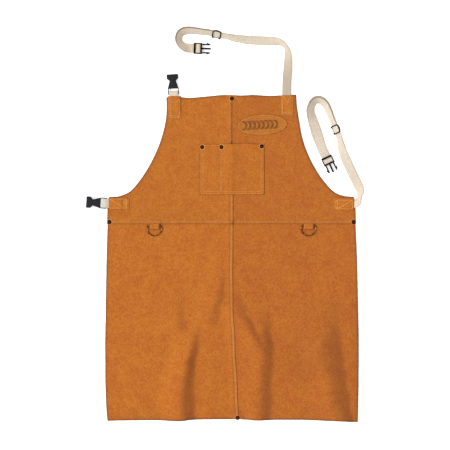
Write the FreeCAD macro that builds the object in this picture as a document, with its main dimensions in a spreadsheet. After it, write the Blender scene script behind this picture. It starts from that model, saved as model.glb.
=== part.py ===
import FreeCAD, Part
import math
import os
import Sketcher

# Leather welding apron, lying flat with its front up.
# +X is to the right, +Y runs from the hem to the bib, +Z comes out of the front.
# The origin is where the centre seam crosses the waist seam, on the back face.

V = FreeCAD.Vector
doc = FreeCAD.newDocument("welding_apron")
sheet = doc.addObject("Spreadsheet::Sheet", "sizes")


class Size:
    """A length in millimetres that knows its number and its expression."""

    def __init__(self, value, text=None):
        self.value = float(value)
        self.text = text if text is not None else "(%.9g)" % value

    def join(self, other, sign, value):
        return Size(value, "(%s %s %s)" % (self.text, sign, other.text))

    def __add__(self, other):
        other = size(other)
        return self.join(other, "+", self.value + other.value)

    def __sub__(self, other):
        other = size(other)
        return self.join(other, "-", self.value - other.value)

    def __mul__(self, other):
        other = size(other)
        return self.join(other, "*", self.value * other.value)

    def __truediv__(self, other):
        other = size(other)
        return self.join(other, "/", self.value / other.value)

    def __neg__(self):
        return Size(-self.value, "(0 - %s)" % self.text)


def size(value):
    return value if isinstance(value, Size) else Size(value)


class Sizes:
    """The driving dimensions, each an aliased cell of the spreadsheet."""


def fill_sheet(rows):
    table = Sizes()
    for number, (alias, value) in enumerate(rows, start=1):
        sheet.set("A%d" % number, alias.replace("_", " "))
        sheet.set("B%d" % number, "%.9g" % value)
        sheet.setAlias("B%d" % number, alias)
        setattr(table, alias, Size(value, "sizes." + alias))
    doc.recompute()
    return table


S = fill_sheet([
    # leather panels
    ("leather", 1.6),
    ("skirt_length", 559),
    ("skirt_waist_half", 350),
    ("skirt_hem_half", 355),
    ("bib_height", 355),
    ("bib_top_half", 182),
    ("bib_side_half", 199),
    ("bib_side_height", 226),
    ("armhole_half", 278),
    ("armhole_height", 90),
    ("armhole_upper_radius", 379),
    ("armhole_lower_radius", 62),
    ("ledge_inner_half", 319),
    ("ledge_outer_half", 346),
    ("ledge_height", 71),
    ("corner_half", 349.5),
    ("corner_height", 48),
    ("lap_under", 6),
    ("lap_over", 4),
    ("lap_width", 18),
    ("waist_lap", 5),
    ("waist_band", 14),
    ("seam_bend_down", 265),
    ("seam_bend_shift", -3),
    ("seam_hem_shift", 15),
    ("fit", 0.2),
    # chest pocket
    ("pocket_left", -89),
    ("pocket_right", 92),
    ("pocket_bottom", 77),
    ("pocket_top", 221),
    ("pocket_flange", 13),
    ("pocket_divider", -28.5),
    ("pocket_divider_half", 7.5),
    ("pocket_room", 5.4),
    # badge
    ("badge_half_width", 70),
    ("badge_half_height", 29),
    ("badge_x", 87),
    ("badge_y", 274),
    ("badge_tilt", 3),
    # webbing and its leather tabs
    ("web_width", 25.4),
    ("web", 1.8),
    ("tab_width", 38),
    ("tab_short_width", 34),
    ("tab_length", 64),
    ("channel_play", 0.2),
    ("neck_tab_x", 161),
    ("neck_tab_right_x", 157),
    ("waist_tab_y", 51),
    ("waist_web_y", 52.5),
    ("short_anchor", 30),
    ("bar_reach", 5.4),
    # side release buckles
    ("bar_radius", 1.5),
    ("bar_height", 4.75),
    ("bar_gap", 0.3),
    ("rail_inner", 13.1),
    ("rail_outer", 15.4),
    ("socket_half_thick", 4.75),
    ("socket_start", 15.5),
    ("socket_waist", 36),
    ("socket_flare", 44),
    ("socket_mouth", 55.5),
    ("socket_waist_half", 9),
    ("socket_mouth_half", 16),
    ("mouth_half", 13.6),
    ("mouth_half_height", 2.7),
    ("plug_length", 48.5),
    ("plug_half", 15.5),
    ("plug_low", 1.8),
    ("plug_high", 6.2),
    ("end_bar", 5),
    ("window_end", 19),
    ("cross_end", 23.5),
    ("arm_end", 46.5),
    ("arm_half", 1.3),
    ("arm_offset", 11.6),
    # strap adjusters
    ("slider_half_length", 12.5),
    ("slider_rail_inner", 13.2),
    ("slider_rail_outer", 16),
    ("slider_half_thick", 3.1),
    # rings and rivets
    ("ring_wire", 3),
    ("ring_half_width", 20.3),
    ("ring_leg", 8.5),
    ("ring_corner", 4),
    ("ring_x", 217),
    ("ring_bar_down", 10),
    ("ring_lean", 2.8),
    ("loop_width", 27),
    ("loop_leather", 1.2),
    ("loop_down", 19),
    ("rivet_cap_radius", 5),
    ("rivet_cap_height", 1.8),
    ("rivet_post", 1.5),
    ("rivet_back_radius", 4),
    ("rivet_back_depth", 0.6),
])

nodes = []


def keep(obj, name):
    """Marks an object as a finished sub-part under the name of its file."""
    obj.Label = name
    nodes.append(obj)
    return obj


# ---------------------------------------------------------------- sketch helpers

def new_body(name):
    return doc.addObject("PartDesign::Body", name)


def new_sketch(body, role, lift=0):
    sketch = body.newObject("Sketcher::SketchObject", body.Name + "_sketch")
    plane = [item for item in body.Origin.OriginFeatures if item.Role == role][0]
    sketch.AttachmentSupport = [(plane, "")]
    sketch.MapMode = "FlatFace"
    sketch.setExpression("AttachmentOffset.Base.z", size(lift).text)
    return sketch


def pin_vertex(sketch, edge, end, point):
    """Holds one end of a sketch edge at a place given by two sizes."""
    for kind, distance in zip(("DistanceX", "DistanceY"), point):
        distance = size(distance)
        index = sketch.addConstraint(Sketcher.Constraint(kind, -1, 1, edge, end, distance.value))
        sketch.setExpression("Constraints[%d]" % index, distance.text)


def arc_between(first, last, radius, bulge):
    """A circular arc between two points; bulge is 1 to the left of the way, or -1."""
    middle = (first + last) * 0.5
    half = (last - first).Length / 2
    way = (last - first).normalize()
    left = V(-way.y, way.x, 0)
    centre = middle - left * (bulge * math.sqrt(radius * radius - half * half))
    start, end = (last, first) if bulge > 0 else (first, last)
    begin = math.atan2(start.y - centre.y, start.x - centre.x)
    finish = math.atan2(end.y - centre.y, end.x - centre.x)
    if finish < begin:
        finish += 2 * math.pi
    return Part.ArcOfCircle(Part.Circle(centre, V(0, 0, 1), radius), begin, finish)


def draw_outline(sketch, points, arcs=None):
    """A closed outline through the points; arcs gives {edge: (radius, bulge)}."""
    arcs = arcs or {}
    places = [V(size(x).value, size(y).value, 0) for x, y in points]
    first = sketch.GeometryCount
    count = len(points)
    ends = []
    for index in range(count):
        here = places[index]
        after = places[(index + 1) % count]
        if index in arcs:
            radius, bulge = arcs[index]
            sketch.addGeometry(arc_between(here, after, radius.value, bulge))
            ends.append((2, 1) if bulge > 0 else (1, 2))
        else:
            sketch.addGeometry(Part.LineSegment(here, after))
            ends.append((1, 2))
    for index in range(count):
        edge = first + index
        after = first + (index + 1) % count
        sketch.addConstraint(Sketcher.Constraint(
            "Coincident", edge, ends[index][1], after, ends[(index + 1) % count][0]))
        pin_vertex(sketch, edge, ends[index][0], points[index])
        if index in arcs:
            radius = arcs[index][0]
            number = sketch.addConstraint(Sketcher.Constraint("Radius", edge, radius.value))
            sketch.setExpression("Constraints[%d]" % number, radius.text)


def draw_stadium(sketch, x_low, x_high, y, radius):
    """A slot with round ends; each end's radius is a hair over half the width."""
    y = size(y)
    end = (size(radius) + 0.001, -1)
    draw_outline(sketch, [(x_low, y - radius), (x_high, y - radius),
                          (x_high, y + radius), (x_low, y + radius)], {1: end, 3: end})


def draw_box(sketch, x_low, y_low, x_high, y_high):
    draw_outline(sketch, [(x_low, y_low), (x_high, y_low), (x_high, y_high), (x_low, y_high)])


def draw_circle(sketch, x, y, radius):
    centre = V(size(x).value, size(y).value, 0)
    edge = sketch.addGeometry(Part.Circle(centre, V(0, 0, 1), size(radius).value))
    pin_vertex(sketch, edge, 3, (x, y))
    index = sketch.addConstraint(Sketcher.Constraint("Radius", edge, size(radius).value))
    sketch.setExpression("Constraints[%d]" % index, size(radius).text)


def add_pad(body, sketch, length, midplane=False):
    pad = body.newObject("PartDesign::Pad", body.Name + "_pad")
    pad.Profile = sketch
    pad.setExpression("Length", size(length).text)
    pad.Midplane = midplane
    sketch.Visibility = False
    return pad


def add_cut(body, sketch, depth, both_ways=True):
    """A pocket that must remove material, checked by volume."""
    doc.recompute()
    before = body.Shape.Volume
    cut = body.newObject("PartDesign::Pocket", body.Name + "_cut")
    cut.Profile = sketch
    cut.setExpression("Length", size(depth).text)
    cut.Midplane = both_ways
    cut.Reversed = not both_ways
    doc.recompute()
    if body.Shape.Volume > before - 1e-6:
        raise RuntimeError("a pocket in %s cut nothing" % body.Name)
    return cut


def place(obj, x, y, z=0, turn=0):
    """Puts an object at sizes x, y, z, turned about +Z by a number of degrees."""
    obj.Placement = FreeCAD.Placement(V(0, 0, 0), FreeCAD.Rotation(V(0, 0, 1), size(turn).value))
    for axis, distance in zip("xyz", (x, y, z)):
        obj.setExpression("Placement.Base." + axis, size(distance).text)


# ---------------------------------------------------------------- rivets' places

rivet_places = [
    (size(1), S.bib_height - 7),
    (S.pocket_left + 6.5, S.pocket_top - 10),
    (S.pocket_divider, S.pocket_top - 10),
    (S.pocket_right - 7, S.pocket_top - 8),
    (-S.skirt_waist_half + 6, size(0)),
    (S.skirt_waist_half - 6, size(0)),
    (S.seam_hem_shift + 2, -S.skirt_length + 7),
]


def drill(body, numbers):
    """Post holes, with a shallow recess in the back for the rivet's flange."""
    for number in numbers:
        x, y = rivet_places[number]
        hole = new_sketch(body, "XY_Plane")
        draw_circle(hole, x, y, S.rivet_post)
        add_cut(body, hole, S.leather * 10)


def recess(body, numbers):
    for number in numbers:
        x, y = rivet_places[number]
        hollow = new_sketch(body, "XY_Plane")
        draw_circle(hollow, x, y, S.rivet_back_radius)
        add_cut(body, hollow, S.rivet_back_depth * 2)


# ---------------------------------------------------------------- leather panels

def bib_outline(inner, side):
    """Half of the bib; inner is the x of its seam edge and side is 1 or -1."""
    points = [
        (inner, S.waist_lap + S.fit),
        (S.skirt_waist_half * side, S.waist_lap + S.fit),
        (S.corner_half * side, S.corner_height),
        (S.ledge_outer_half * side, S.ledge_height),
        (S.ledge_inner_half * side, S.ledge_height),
        (S.armhole_half * side, S.armhole_height),
        (S.bib_side_half * side, S.bib_side_height),
        (S.bib_top_half * side, S.bib_height),
        (inner, S.bib_height),
    ]
    arcs = {4: (S.armhole_lower_radius, side), 5: (S.armhole_upper_radius, side)}
    return points, arcs


def waist_band(body, side):
    """The bib's lower edge, which laps over the skirt's top edge."""
    band = new_sketch(body, "XY_Plane", S.leather)
    draw_outline(band, [
        (S.fit / 2 * side, -S.waist_lap),
        (S.skirt_waist_half * side, -S.waist_lap),
        (S.skirt_waist_half * side, S.waist_band),
        (S.fit / 2 * side, S.waist_band),
    ])
    add_pad(body, band, S.leather)


def make_bib_right():
    body = new_body("bib_right")
    panel = new_sketch(body, "XY_Plane")
    draw_outline(panel, *bib_outline(-S.lap_under, 1))
    add_pad(body, panel, S.leather)
    waist_band(body, 1)
    drill(body, [0, 3, 5])
    recess(body, [0, 3])
    return keep(body, "bib_right")


def make_bib_left():
    body = new_body("bib_left")
    panel = new_sketch(body, "XY_Plane")
    draw_outline(panel, *bib_outline(-S.lap_under - S.fit, -1))
    add_pad(body, panel, S.leather)
    waist_band(body, -1)
    lap = new_sketch(body, "XY_Plane", S.leather)
    draw_box(lap, S.lap_over - S.lap_width, S.waist_band + S.fit, S.lap_over, S.bib_height)
    add_pad(body, lap, S.leather)
    drill(body, [0, 1, 2, 4])
    recess(body, [1, 2])
    return keep(body, "bib_left")


def skirt_seam(offset):
    """The centre seam's line from the waist to the hem, moved sideways."""
    return [
        (size(offset), size(0)),
        (S.seam_bend_shift + offset, -S.seam_bend_down),
        (S.seam_hem_shift + offset, -S.skirt_length),
    ]


def make_skirt_right():
    body = new_body("skirt_right")
    panel = new_sketch(body, "XY_Plane")
    draw_outline(panel, [(-S.lap_under, S.waist_lap)] + skirt_seam(-S.lap_under) + [
        (S.skirt_hem_half, -S.skirt_length),
        (S.skirt_waist_half, S.waist_lap),
    ])
    add_pad(body, panel, S.leather)
    drill(body, [5, 6])
    recess(body, [5, 6])
    return keep(body, "skirt_right")


def make_skirt_left():
    body = new_body("skirt_left")
    panel = new_sketch(body, "XY_Plane")
    inner = -S.lap_under - S.fit
    draw_outline(panel, [(inner, S.waist_lap)] + skirt_seam(inner) + [
        (-S.skirt_hem_half, -S.skirt_length),
        (-S.skirt_waist_half, S.waist_lap),
    ])
    add_pad(body, panel, S.leather)
    lap = new_sketch(body, "XY_Plane", S.leather)
    top = -S.waist_lap - S.fit
    edge = [(x, y if y.value < -1 else top) for x, y in skirt_seam(S.lap_over)]
    back = [(x, y if y.value < -1 else top) for x, y in skirt_seam(S.lap_over - S.lap_width)]
    draw_outline(lap, edge + back[::-1])
    add_pad(body, lap, S.leather)
    drill(body, [4, 6])
    recess(body, [4])
    return keep(body, "skirt_left")


def pocket_side(low, high, grow, foot):
    """One compartment's cross-section, wider by grow on each face."""
    slope = S.pocket_room
    return [
        (low - grow, foot),
        (high + grow, foot),
        (high + grow, S.leather + 0.4),
        (high - slope + grow, S.leather + S.pocket_room + grow),
        (low + slope - grow, S.leather + S.pocket_room + grow),
        (low - grow, S.leather + 0.4),
    ]


def make_pocket():
    """A patch pocket whose two compartments stand a little open."""
    body = new_body("chest_pocket")
    flange = new_sketch(body, "XY_Plane", S.leather)
    draw_box(flange, S.pocket_left, S.pocket_bottom, S.pocket_right, S.pocket_top)
    add_pad(body, flange, S.leather)
    left = (S.pocket_left + S.pocket_flange, S.pocket_divider - S.pocket_divider_half)
    right = (S.pocket_divider + S.pocket_divider_half, S.pocket_right - S.pocket_flange)
    floor = S.pocket_bottom + S.pocket_flange
    for low, high in (left, right):
        cover = new_sketch(body, "XZ_Plane", -S.pocket_top)
        draw_outline(cover, pocket_side(low, high, S.leather / 2, S.leather))
        add_pad(body, cover, S.pocket_top - floor + S.leather)
    bridge = new_sketch(body, "XY_Plane", S.leather * 2)
    draw_box(bridge, S.lap_over - S.lap_width - 2, S.pocket_bottom, S.lap_over + 2, floor)
    add_pad(body, bridge, S.leather)
    for low, high in (left, right):
        room = new_sketch(body, "XZ_Plane", -S.pocket_top - 1)
        draw_outline(room, pocket_side(low, high, -S.leather / 2, S.leather - 0.1))
        add_cut(body, room, S.pocket_top - floor + 1, both_ways=False)
    seam = new_sketch(body, "XZ_Plane", -S.pocket_top)
    draw_box(seam, S.lap_over - S.lap_width - S.fit, S.leather - 0.1,
             S.lap_over + S.fit, S.leather * 2)
    add_cut(body, seam, S.pocket_top * 4)
    drill(body, [1, 2, 3])
    return keep(body, "chest_pocket")


def make_badge():
    """A plain stitched oval of leather beside the pocket."""
    body = new_body("oval_badge")
    sketch = new_sketch(body, "XY_Plane", S.leather)
    sketch.addGeometry(Part.Ellipse(V(0, 0, 0), S.badge_half_width.value, S.badge_half_height.value))
    sketch.exposeInternalGeometry(0)
    sketch.addConstraint(Sketcher.Constraint("Coincident", 0, 3, -1, 1))
    sketch.addConstraint(Sketcher.Constraint("PointOnObject", 1, 2, -1))
    for line, half in ((1, S.badge_half_width), (2, S.badge_half_height)):
        index = sketch.addConstraint(Sketcher.Constraint("Distance", line, half.value * 2))
        sketch.setExpression("Constraints[%d]" % index, (half * 2).text)
    add_pad(body, sketch, S.leather)
    place(body, S.badge_x, S.badge_y, 0, S.badge_tilt)
    return keep(body, "oval_badge")


# ---------------------------------------------------------------- tabs over the webbing

def make_tab(name, width, length, layers, x, y, turn):
    """A leather tab with a channel for the webbing, open at its outer end.

    In its own frame the tab runs back from the origin along -Y.
    """
    channel = S.web * layers + S.channel_play
    body = new_body(name)
    block = new_sketch(body, "XY_Plane", S.leather)
    draw_box(block, -width / 2, -length, width / 2, 0)
    add_pad(body, block, channel + S.leather)
    slot = new_sketch(body, "XZ_Plane", 0)
    half = S.web_width / 2 + 1.9
    draw_box(slot, -half, S.leather - 0.1, half, S.leather + channel)
    add_cut(body, slot, (S.short_anchor + 3) * 2)
    place(body, x, y, 0, turn)
    return keep(body, name)


def make_tabs():
    make_tab("neck_tab_left", S.tab_width, S.tab_length, 2, -S.neck_tab_x, S.bib_height, 0)
    make_tab("neck_tab_right", S.tab_width, S.tab_length - 8, 1, S.neck_tab_right_x,
             S.bib_height, 0)
    make_tab("waist_tab_left", S.tab_short_width, S.tab_length - 5, 2,
             -S.ledge_outer_half, S.waist_tab_y, 90)
    make_tab("waist_tab_right", S.tab_short_width, S.tab_length - 5, 1,
             S.ledge_outer_half, S.waist_tab_y, -90)


# ---------------------------------------------------------------- short straps

def make_short_strap(name, x, y, turn):
    """Doubled webbing that comes out of a tab and loops round a buckle's bar.

    In its own frame the bar lies along Y at the origin, and the tab is at -X.
    """
    body = new_body(name)
    grow = S.bar_radius + S.bar_gap
    side = new_sketch(body, "XZ_Plane", 0)
    low = S.leather - S.bar_height
    draw_box(side, -S.bar_reach - S.short_anchor, low, 0, low + S.web * 2)
    add_pad(body, side, S.web_width, midplane=True)
    for radius, cut in ((grow + S.web, False), (grow, True)):
        loop = new_sketch(body, "XZ_Plane", 0)
        draw_stadium(loop, 0, S.bar_reach, 0, radius)
        if cut:
            add_cut(body, loop, S.web_width * 2)
        else:
            add_pad(body, loop, S.web_width, midplane=True)
    place(body, x, y, S.bar_height, turn)
    return keep(body, name)


# ---------------------------------------------------------------- buckles

def make_socket(name, x, y, turn):
    """The female half; its web bar is the local Y axis and its mouth faces +X."""
    body = new_body(name)
    shell = new_sketch(body, "XY_Plane", -S.socket_half_thick)
    half = [
        (S.socket_start, S.rail_outer),
        (S.socket_waist, S.socket_waist_half),
        (S.socket_waist + 2, S.socket_waist_half),
        (S.socket_flare, S.socket_mouth_half),
        (S.socket_mouth, S.socket_mouth_half),
    ]
    draw_outline(shell, half + [(px, -py) for px, py in half[::-1]])
    add_pad(body, shell, S.socket_half_thick * 2)
    rails = new_sketch(body, "XY_Plane", -S.bar_radius)
    draw_box(rails, -S.bar_radius, -S.rail_outer, S.socket_start + 1, S.rail_outer)
    add_pad(body, rails, S.bar_radius * 2)
    window = new_sketch(body, "XY_Plane", 0)
    draw_box(window, S.bar_radius, -S.rail_inner, S.socket_start, S.rail_inner)
    add_cut(body, window, S.socket_half_thick * 2)
    under_bar = new_sketch(body, "XZ_Plane", 0)
    corner = S.bar_radius
    draw_box(under_bar, -corner - 1, -corner, corner, corner)
    draw_circle(under_bar, 0, 0, S.bar_radius)
    add_cut(body, under_bar, S.rail_inner * 2)
    mouth = new_sketch(body, "YZ_Plane", S.socket_mouth)
    draw_box(mouth, -S.mouth_half, -S.mouth_half_height, S.mouth_half, S.mouth_half_height)
    add_cut(body, mouth, (S.socket_mouth - S.socket_waist - 1) * 2)
    channel = new_sketch(body, "YZ_Plane", S.socket_mouth)
    draw_box(channel, -3.4, -S.mouth_half_height, 3.4, S.mouth_half_height)
    add_cut(body, channel, (S.socket_mouth - S.socket_start - 4) * 2)
    place(body, x, y, S.bar_height, turn)
    return keep(body, name)


def make_plug_frame(name, x, y, turn):
    """The male half without its two spring arms; its end bar starts at local x = 0."""
    body = new_body(name)
    frame = new_sketch(body, "XY_Plane", S.plug_low)
    draw_box(frame, S.end_bar - 1, -S.plug_half, S.cross_end, S.plug_half)
    add_pad(body, frame, S.plug_high - S.plug_low)
    window = new_sketch(body, "XY_Plane", S.plug_low)
    draw_box(window, S.end_bar - 2, -S.plug_half + 2.2, S.window_end, S.plug_half - 2.2)
    add_cut(body, window, S.plug_high * 4)
    bar = new_sketch(body, "XY_Plane", S.web * 2 + S.bar_gap)
    draw_box(bar, 0, -S.plug_half, S.end_bar, S.plug_half)
    add_pad(body, bar, S.plug_high + 0.8 - S.web * 2 - S.bar_gap)
    guide = new_sketch(body, "XY_Plane", S.plug_low + 0.6)
    draw_outline(guide, [
        (S.cross_end - 1, -2.2), (S.plug_length - 2, -1.7), (S.plug_length, -0.7),
        (S.plug_length, 0.7), (S.plug_length - 2, 1.7), (S.cross_end - 1, 2.2),
    ])
    add_pad(body, guide, S.plug_high - S.plug_low - 1.2)
    middle = new_sketch(body, "XZ_Plane", 0)
    draw_circle(middle, (S.end_bar + S.window_end) / 2, S.plug_mid, S.bar_radius)
    add_pad(body, middle, S.plug_half * 2 - 1, midplane=True)
    place(body, x, y, 0, turn)
    return keep(body, name)


def make_plug_wrap(name, x, y, turn):
    """The webbing's fold round the plug's middle bar."""
    body = new_body(name)
    centre = (S.end_bar + S.window_end) / 2
    tail = new_sketch(body, "XZ_Plane", 0)
    draw_box(tail, size(-1.6), 0.05, centre, S.web * 2)
    add_pad(body, tail, S.web_width, midplane=True)
    hoop = new_sketch(body, "XZ_Plane", 0)
    draw_circle(hoop, centre, S.plug_mid, S.plug_mid - 0.05)
    add_pad(body, hoop, S.web_width, midplane=True)
    hole = new_sketch(body, "XZ_Plane", 0)
    draw_circle(hole, centre, S.plug_mid, S.bar_radius + 0.1)
    add_cut(body, hole, S.web_width * 2)
    place(body, x, y, 0, turn)
    return keep(body, name)


def make_plug_arm(name, side, x, y, turn):
    """One spring arm of the plug, with its barb."""
    body = new_body(name)
    arm = new_sketch(body, "XY_Plane", S.plug_low + 0.5)
    near = (S.arm_offset - S.arm_half) * side
    far = (S.arm_offset + S.arm_half) * side
    draw_outline(arm, [
        (S.cross_end + 0.3, near),
        (S.arm_end - 3, near),
        (S.arm_end, near + side * 0.6),
        (S.arm_end, far - side * 0.6),
        (S.arm_end - 9, far + side * 2.2),
        (S.arm_end - 11, far),
        (S.cross_end + 0.3, far),
    ])
    add_pad(body, arm, S.plug_high - S.plug_low - 1)
    place(body, x, y, 0, turn)
    return keep(body, name)


def make_slider(name, centre, turn, tilt):
    """A cambered three-bar adjuster; local X runs along the strap, Y across it."""
    body = new_body(name)
    thick = S.slider_half_thick
    end = S.slider_half_length
    rails = new_sketch(body, "XZ_Plane", 0)
    draw_outline(rails, [
        (-end, thick), (-end, thick - 2), (-end / 2, -thick + 0.8), (size(-2), -thick),
        (size(2), -thick), (end / 2, -thick + 0.8), (end, thick - 2), (end, thick),
        (end - 3, thick), (end / 3, size(0.2)), (-end / 3, size(0.2)), (-end + 3, thick),
    ])
    add_pad(body, rails, S.slider_rail_outer * 2, midplane=True)
    between = new_sketch(body, "XY_Plane", 0)
    draw_box(between, -end - 1, -S.slider_rail_inner, end + 1, S.slider_rail_inner)
    add_cut(body, between, thick * 4)
    bars = new_sketch(body, "XZ_Plane", 0)
    draw_box(bars, -end, thick - 2, -end + 3, thick)
    draw_box(bars, end - 3, thick - 2, end, thick)
    draw_box(bars, size(-2), -thick, size(2), -thick + 2)
    add_pad(body, bars, S.slider_rail_outer * 2 - 1, midplane=True)
    along = FreeCAD.Rotation(V(0, 0, 1), turn)
    bank = FreeCAD.Rotation(V(1, 0, 0), tilt)
    body.Placement = FreeCAD.Placement(centre, along.multiply(bank))
    return keep(body, name)


# ---------------------------------------------------------------- rings and rivets

def make_ring_loop(name, x):
    """The leather loop that holds a D-ring, sewn in under the waist seam."""
    body = new_body(name)
    height = S.leather + S.loop_leather + S.bar_gap + S.ring_wire / 2
    outer = S.loop_leather + S.bar_gap + S.ring_wire / 2
    inner = S.bar_gap + S.ring_wire / 2
    side = new_sketch(body, "YZ_Plane", 0)
    draw_box(side, -S.loop_down, height - outer, -S.waist_lap - S.fit, height + outer)
    add_pad(body, side, S.loop_width, midplane=True)
    fold = new_sketch(body, "YZ_Plane", 0)
    draw_circle(fold, -S.loop_down, height, outer)
    add_pad(body, fold, S.loop_width, midplane=True)
    hole = new_sketch(body, "YZ_Plane", 0)
    draw_stadium(hole, -S.loop_down, -S.ring_bar_down, height, inner)
    add_cut(body, hole, S.loop_width * 2)
    place(body, x, 0, 0)
    return keep(body, name)


def make_ring(name, x):
    """A D-ring of round wire whose straight bar lies in the leather loop."""
    half = S.ring_half_width.value
    corner = S.ring_corner.value
    leg = S.ring_leg.value
    cut = corner * (1 - math.sqrt(0.5))
    points = [V(0, 0, 0), V(half - corner, 0, 0), V(half - cut, -cut, 0), V(half, -corner, 0),
              V(half, -leg, 0), V(0, -leg - half, 0), V(-half, -leg, 0), V(-half, -corner, 0),
              V(-half + cut, -cut, 0), V(-half + corner, 0, 0)]
    path = Part.Wire([
        Part.LineSegment(points[0], points[1]).toShape(),
        Part.Arc(points[1], points[2], points[3]).toShape(),
        Part.LineSegment(points[3], points[4]).toShape(),
        Part.Arc(points[4], points[5], points[6]).toShape(),
        Part.LineSegment(points[6], points[7]).toShape(),
        Part.Arc(points[7], points[8], points[9]).toShape(),
        Part.LineSegment(points[9], points[0]).toShape(),
    ])
    section = Part.Wire(Part.makeCircle(S.ring_wire.value / 2, V(0, 0, 0), V(1, 0, 0)))
    ring = doc.addObject("Part::Feature", name)
    ring.Shape = path.makePipeShell([section], True, True)
    height = S.leather.value + S.loop_leather.value + S.bar_gap.value + S.ring_wire.value / 2
    ring.Placement = FreeCAD.Placement(V(x.value, -S.ring_bar_down.value, height),
                                       FreeCAD.Rotation(V(1, 0, 0), S.ring_lean.value))
    return keep(ring, name)


def make_rivets():
    """Domed caps in front, and posts with flanges let into the back."""
    cap = S.rivet_cap_height
    dome = (S.rivet_cap_radius * S.rivet_cap_radius + cap * cap) / (cap * 2)
    latitude = math.degrees(math.asin((dome.value - cap.value) / dome.value))
    caps = []
    posts = []
    for number, (x, y) in enumerate(rivet_places):
        head = doc.addObject("Part::Sphere", "rivet_head_%d" % number)
        head.setExpression("Radius", dome.text)
        head.Angle1 = latitude
        place(head, x, y, S.leather * 2 + cap - dome)
        caps.append(head)
        post = doc.addObject("Part::Cylinder", "rivet_post_%d" % number)
        post.setExpression("Radius", S.rivet_post.text)
        post.setExpression("Height", (S.leather * 2 - S.rivet_back_depth).text)
        place(post, x, y, S.rivet_back_depth)
        back = doc.addObject("Part::Cylinder", "rivet_flange_%d" % number)
        back.setExpression("Radius", S.rivet_back_radius.text)
        back.setExpression("Height", S.rivet_back_depth.text)
        place(back, x, y, 0)
        joined = doc.addObject("Part::Fuse", "rivet_shank_%d" % number)
        joined.Base = back
        joined.Tool = post
        posts.append(joined)
    for name, group in (("rivet_caps", caps), ("rivet_posts", posts)):
        bundle = doc.addObject("Part::Compound", name)
        bundle.Links = group
        keep(bundle, name)


# ---------------------------------------------------------------- long straps

class Station:
    """A place on a strap's middle line: the outer edge is raised by the tilt."""

    def __init__(self, x, y, tilt=0, lift=0):
        self.x = x
        self.y = y
        self.tilt = tilt
        self.lift = lift


def centre_curve(stations, start_way, end_way):
    curve = Part.BSplineCurve()
    points = [V(item.x, item.y, 0) for item in stations]
    reach = (points[1] - points[0]).Length
    curve.interpolate(Points=points, InitialTangent=start_way * reach,
                      FinalTangent=end_way * (points[-1] - points[-2]).Length)
    return curve, [curve.parameter(point) for point in points]


def cross_section(point, way, tilt, lift, width, thick):
    """The webbing's rectangle, with its right-hand edge raised by the tilt."""
    bank = math.radians(tilt)
    left = V(-way.y, way.x, 0)
    across = left * -math.cos(bank) + V(0, 0, math.sin(bank))
    normal = left * math.sin(bank) + V(0, 0, math.cos(bank))
    height = width / 2 * math.sin(bank) + thick / 2 * math.cos(bank) + lift
    middle = V(point.x, point.y, height)
    a = across * (width / 2)
    n = normal * (thick / 2)
    return Part.makePolygon([middle - a - n, middle + a - n, middle + a + n, middle - a + n,
                             middle - a - n])


def ribbon(stations, start_way, end_way, thick, steps=4):
    """A webbing solid through the stations, with steps sections between them."""
    curve, knots = centre_curve(stations, start_way, end_way)
    wires = []
    for index in range(len(stations) - 1):
        first = stations[index]
        last = stations[index + 1]
        count = steps if index < len(stations) - 2 else steps + 1
        for number in range(count):
            share = number / steps
            parameter = knots[index] + (knots[index + 1] - knots[index]) * share
            ease = share * share * (3 - 2 * share)
            tilt = first.tilt + (last.tilt - first.tilt) * ease
            lift = first.lift + (last.lift - first.lift) * ease
            way = curve.tangent(parameter)[0]
            wires.append(cross_section(curve.value(parameter), way, tilt, lift,
                                       S.web_width.value, thick))
    solid = Part.makeLoft(wires, True, True)
    expected = curve.length() * S.web_width.value * thick
    print("ribbon %.0f mm long, volume ratio %.3f" % (curve.length(), solid.Volume / expected))
    return solid


def straight_ribbon(first, last, thick):
    """A straight stretch between two stations of one tilt."""
    way = (V(last.x, last.y, 0) - V(first.x, first.y, 0)).normalize()
    ends = [cross_section(V(item.x, item.y, 0), way, item.tilt, item.lift,
                          S.web_width.value, thick) for item in (first, last)]
    return Part.makeLoft(ends, True, True)


def heading(degrees):
    return V(math.cos(math.radians(degrees)), math.sin(math.radians(degrees)), 0)


def strap_node(name, shape):
    feature = doc.addObject("Part::Feature", name)
    feature.Shape = shape
    return keep(feature, name)


def make_long_strap(name, run, stretch, loop, start_way, end_way):
    """Single webbing up to the slider, and the doubled loop out to the plug."""
    single = S.web.value
    double = S.web.value * 2
    slide_way = (V(stretch[1].x, stretch[1].y, 0) - V(stretch[0].x, stretch[0].y, 0)).normalize()
    first = ribbon(run + [stretch[0]], start_way, slide_way, single)
    middle = straight_ribbon(stretch[0], stretch[1], single)
    strap_node(name + "_strap", first.fuse(middle).removeSplitter())
    strap_node(name + "_strap_loop", ribbon([stretch[1]] + loop, slide_way, end_way, double))


NECK_PLUG = (-106.3, 489.5, -2.0)
WAIST_PLUG = (266.5, 183.6, -64.3)
PLUG_ROOT = 2.0
WAIST_EXIT = 72


def plug_entry(plug):
    """Where the webbing reaches a plug, just before its end bar."""
    x, y, turn = plug
    way = heading(turn)
    return Station(x - way.x * PLUG_ROOT, y - way.y * PLUG_ROOT, 0, 0)


SLIDER_TILT = 60
SLIDER_LIFT = 4.4
NECK_STRETCH = (Station(-15.5, 521.5, SLIDER_TILT, SLIDER_LIFT),
                Station(-68, 532.4, SLIDER_TILT, SLIDER_LIFT))
WAIST_STRETCH = (Station(303.4, 236, SLIDER_TILT, SLIDER_LIFT),
                 Station(283.6, 284.6, SLIDER_TILT, SLIDER_LIFT))


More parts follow.
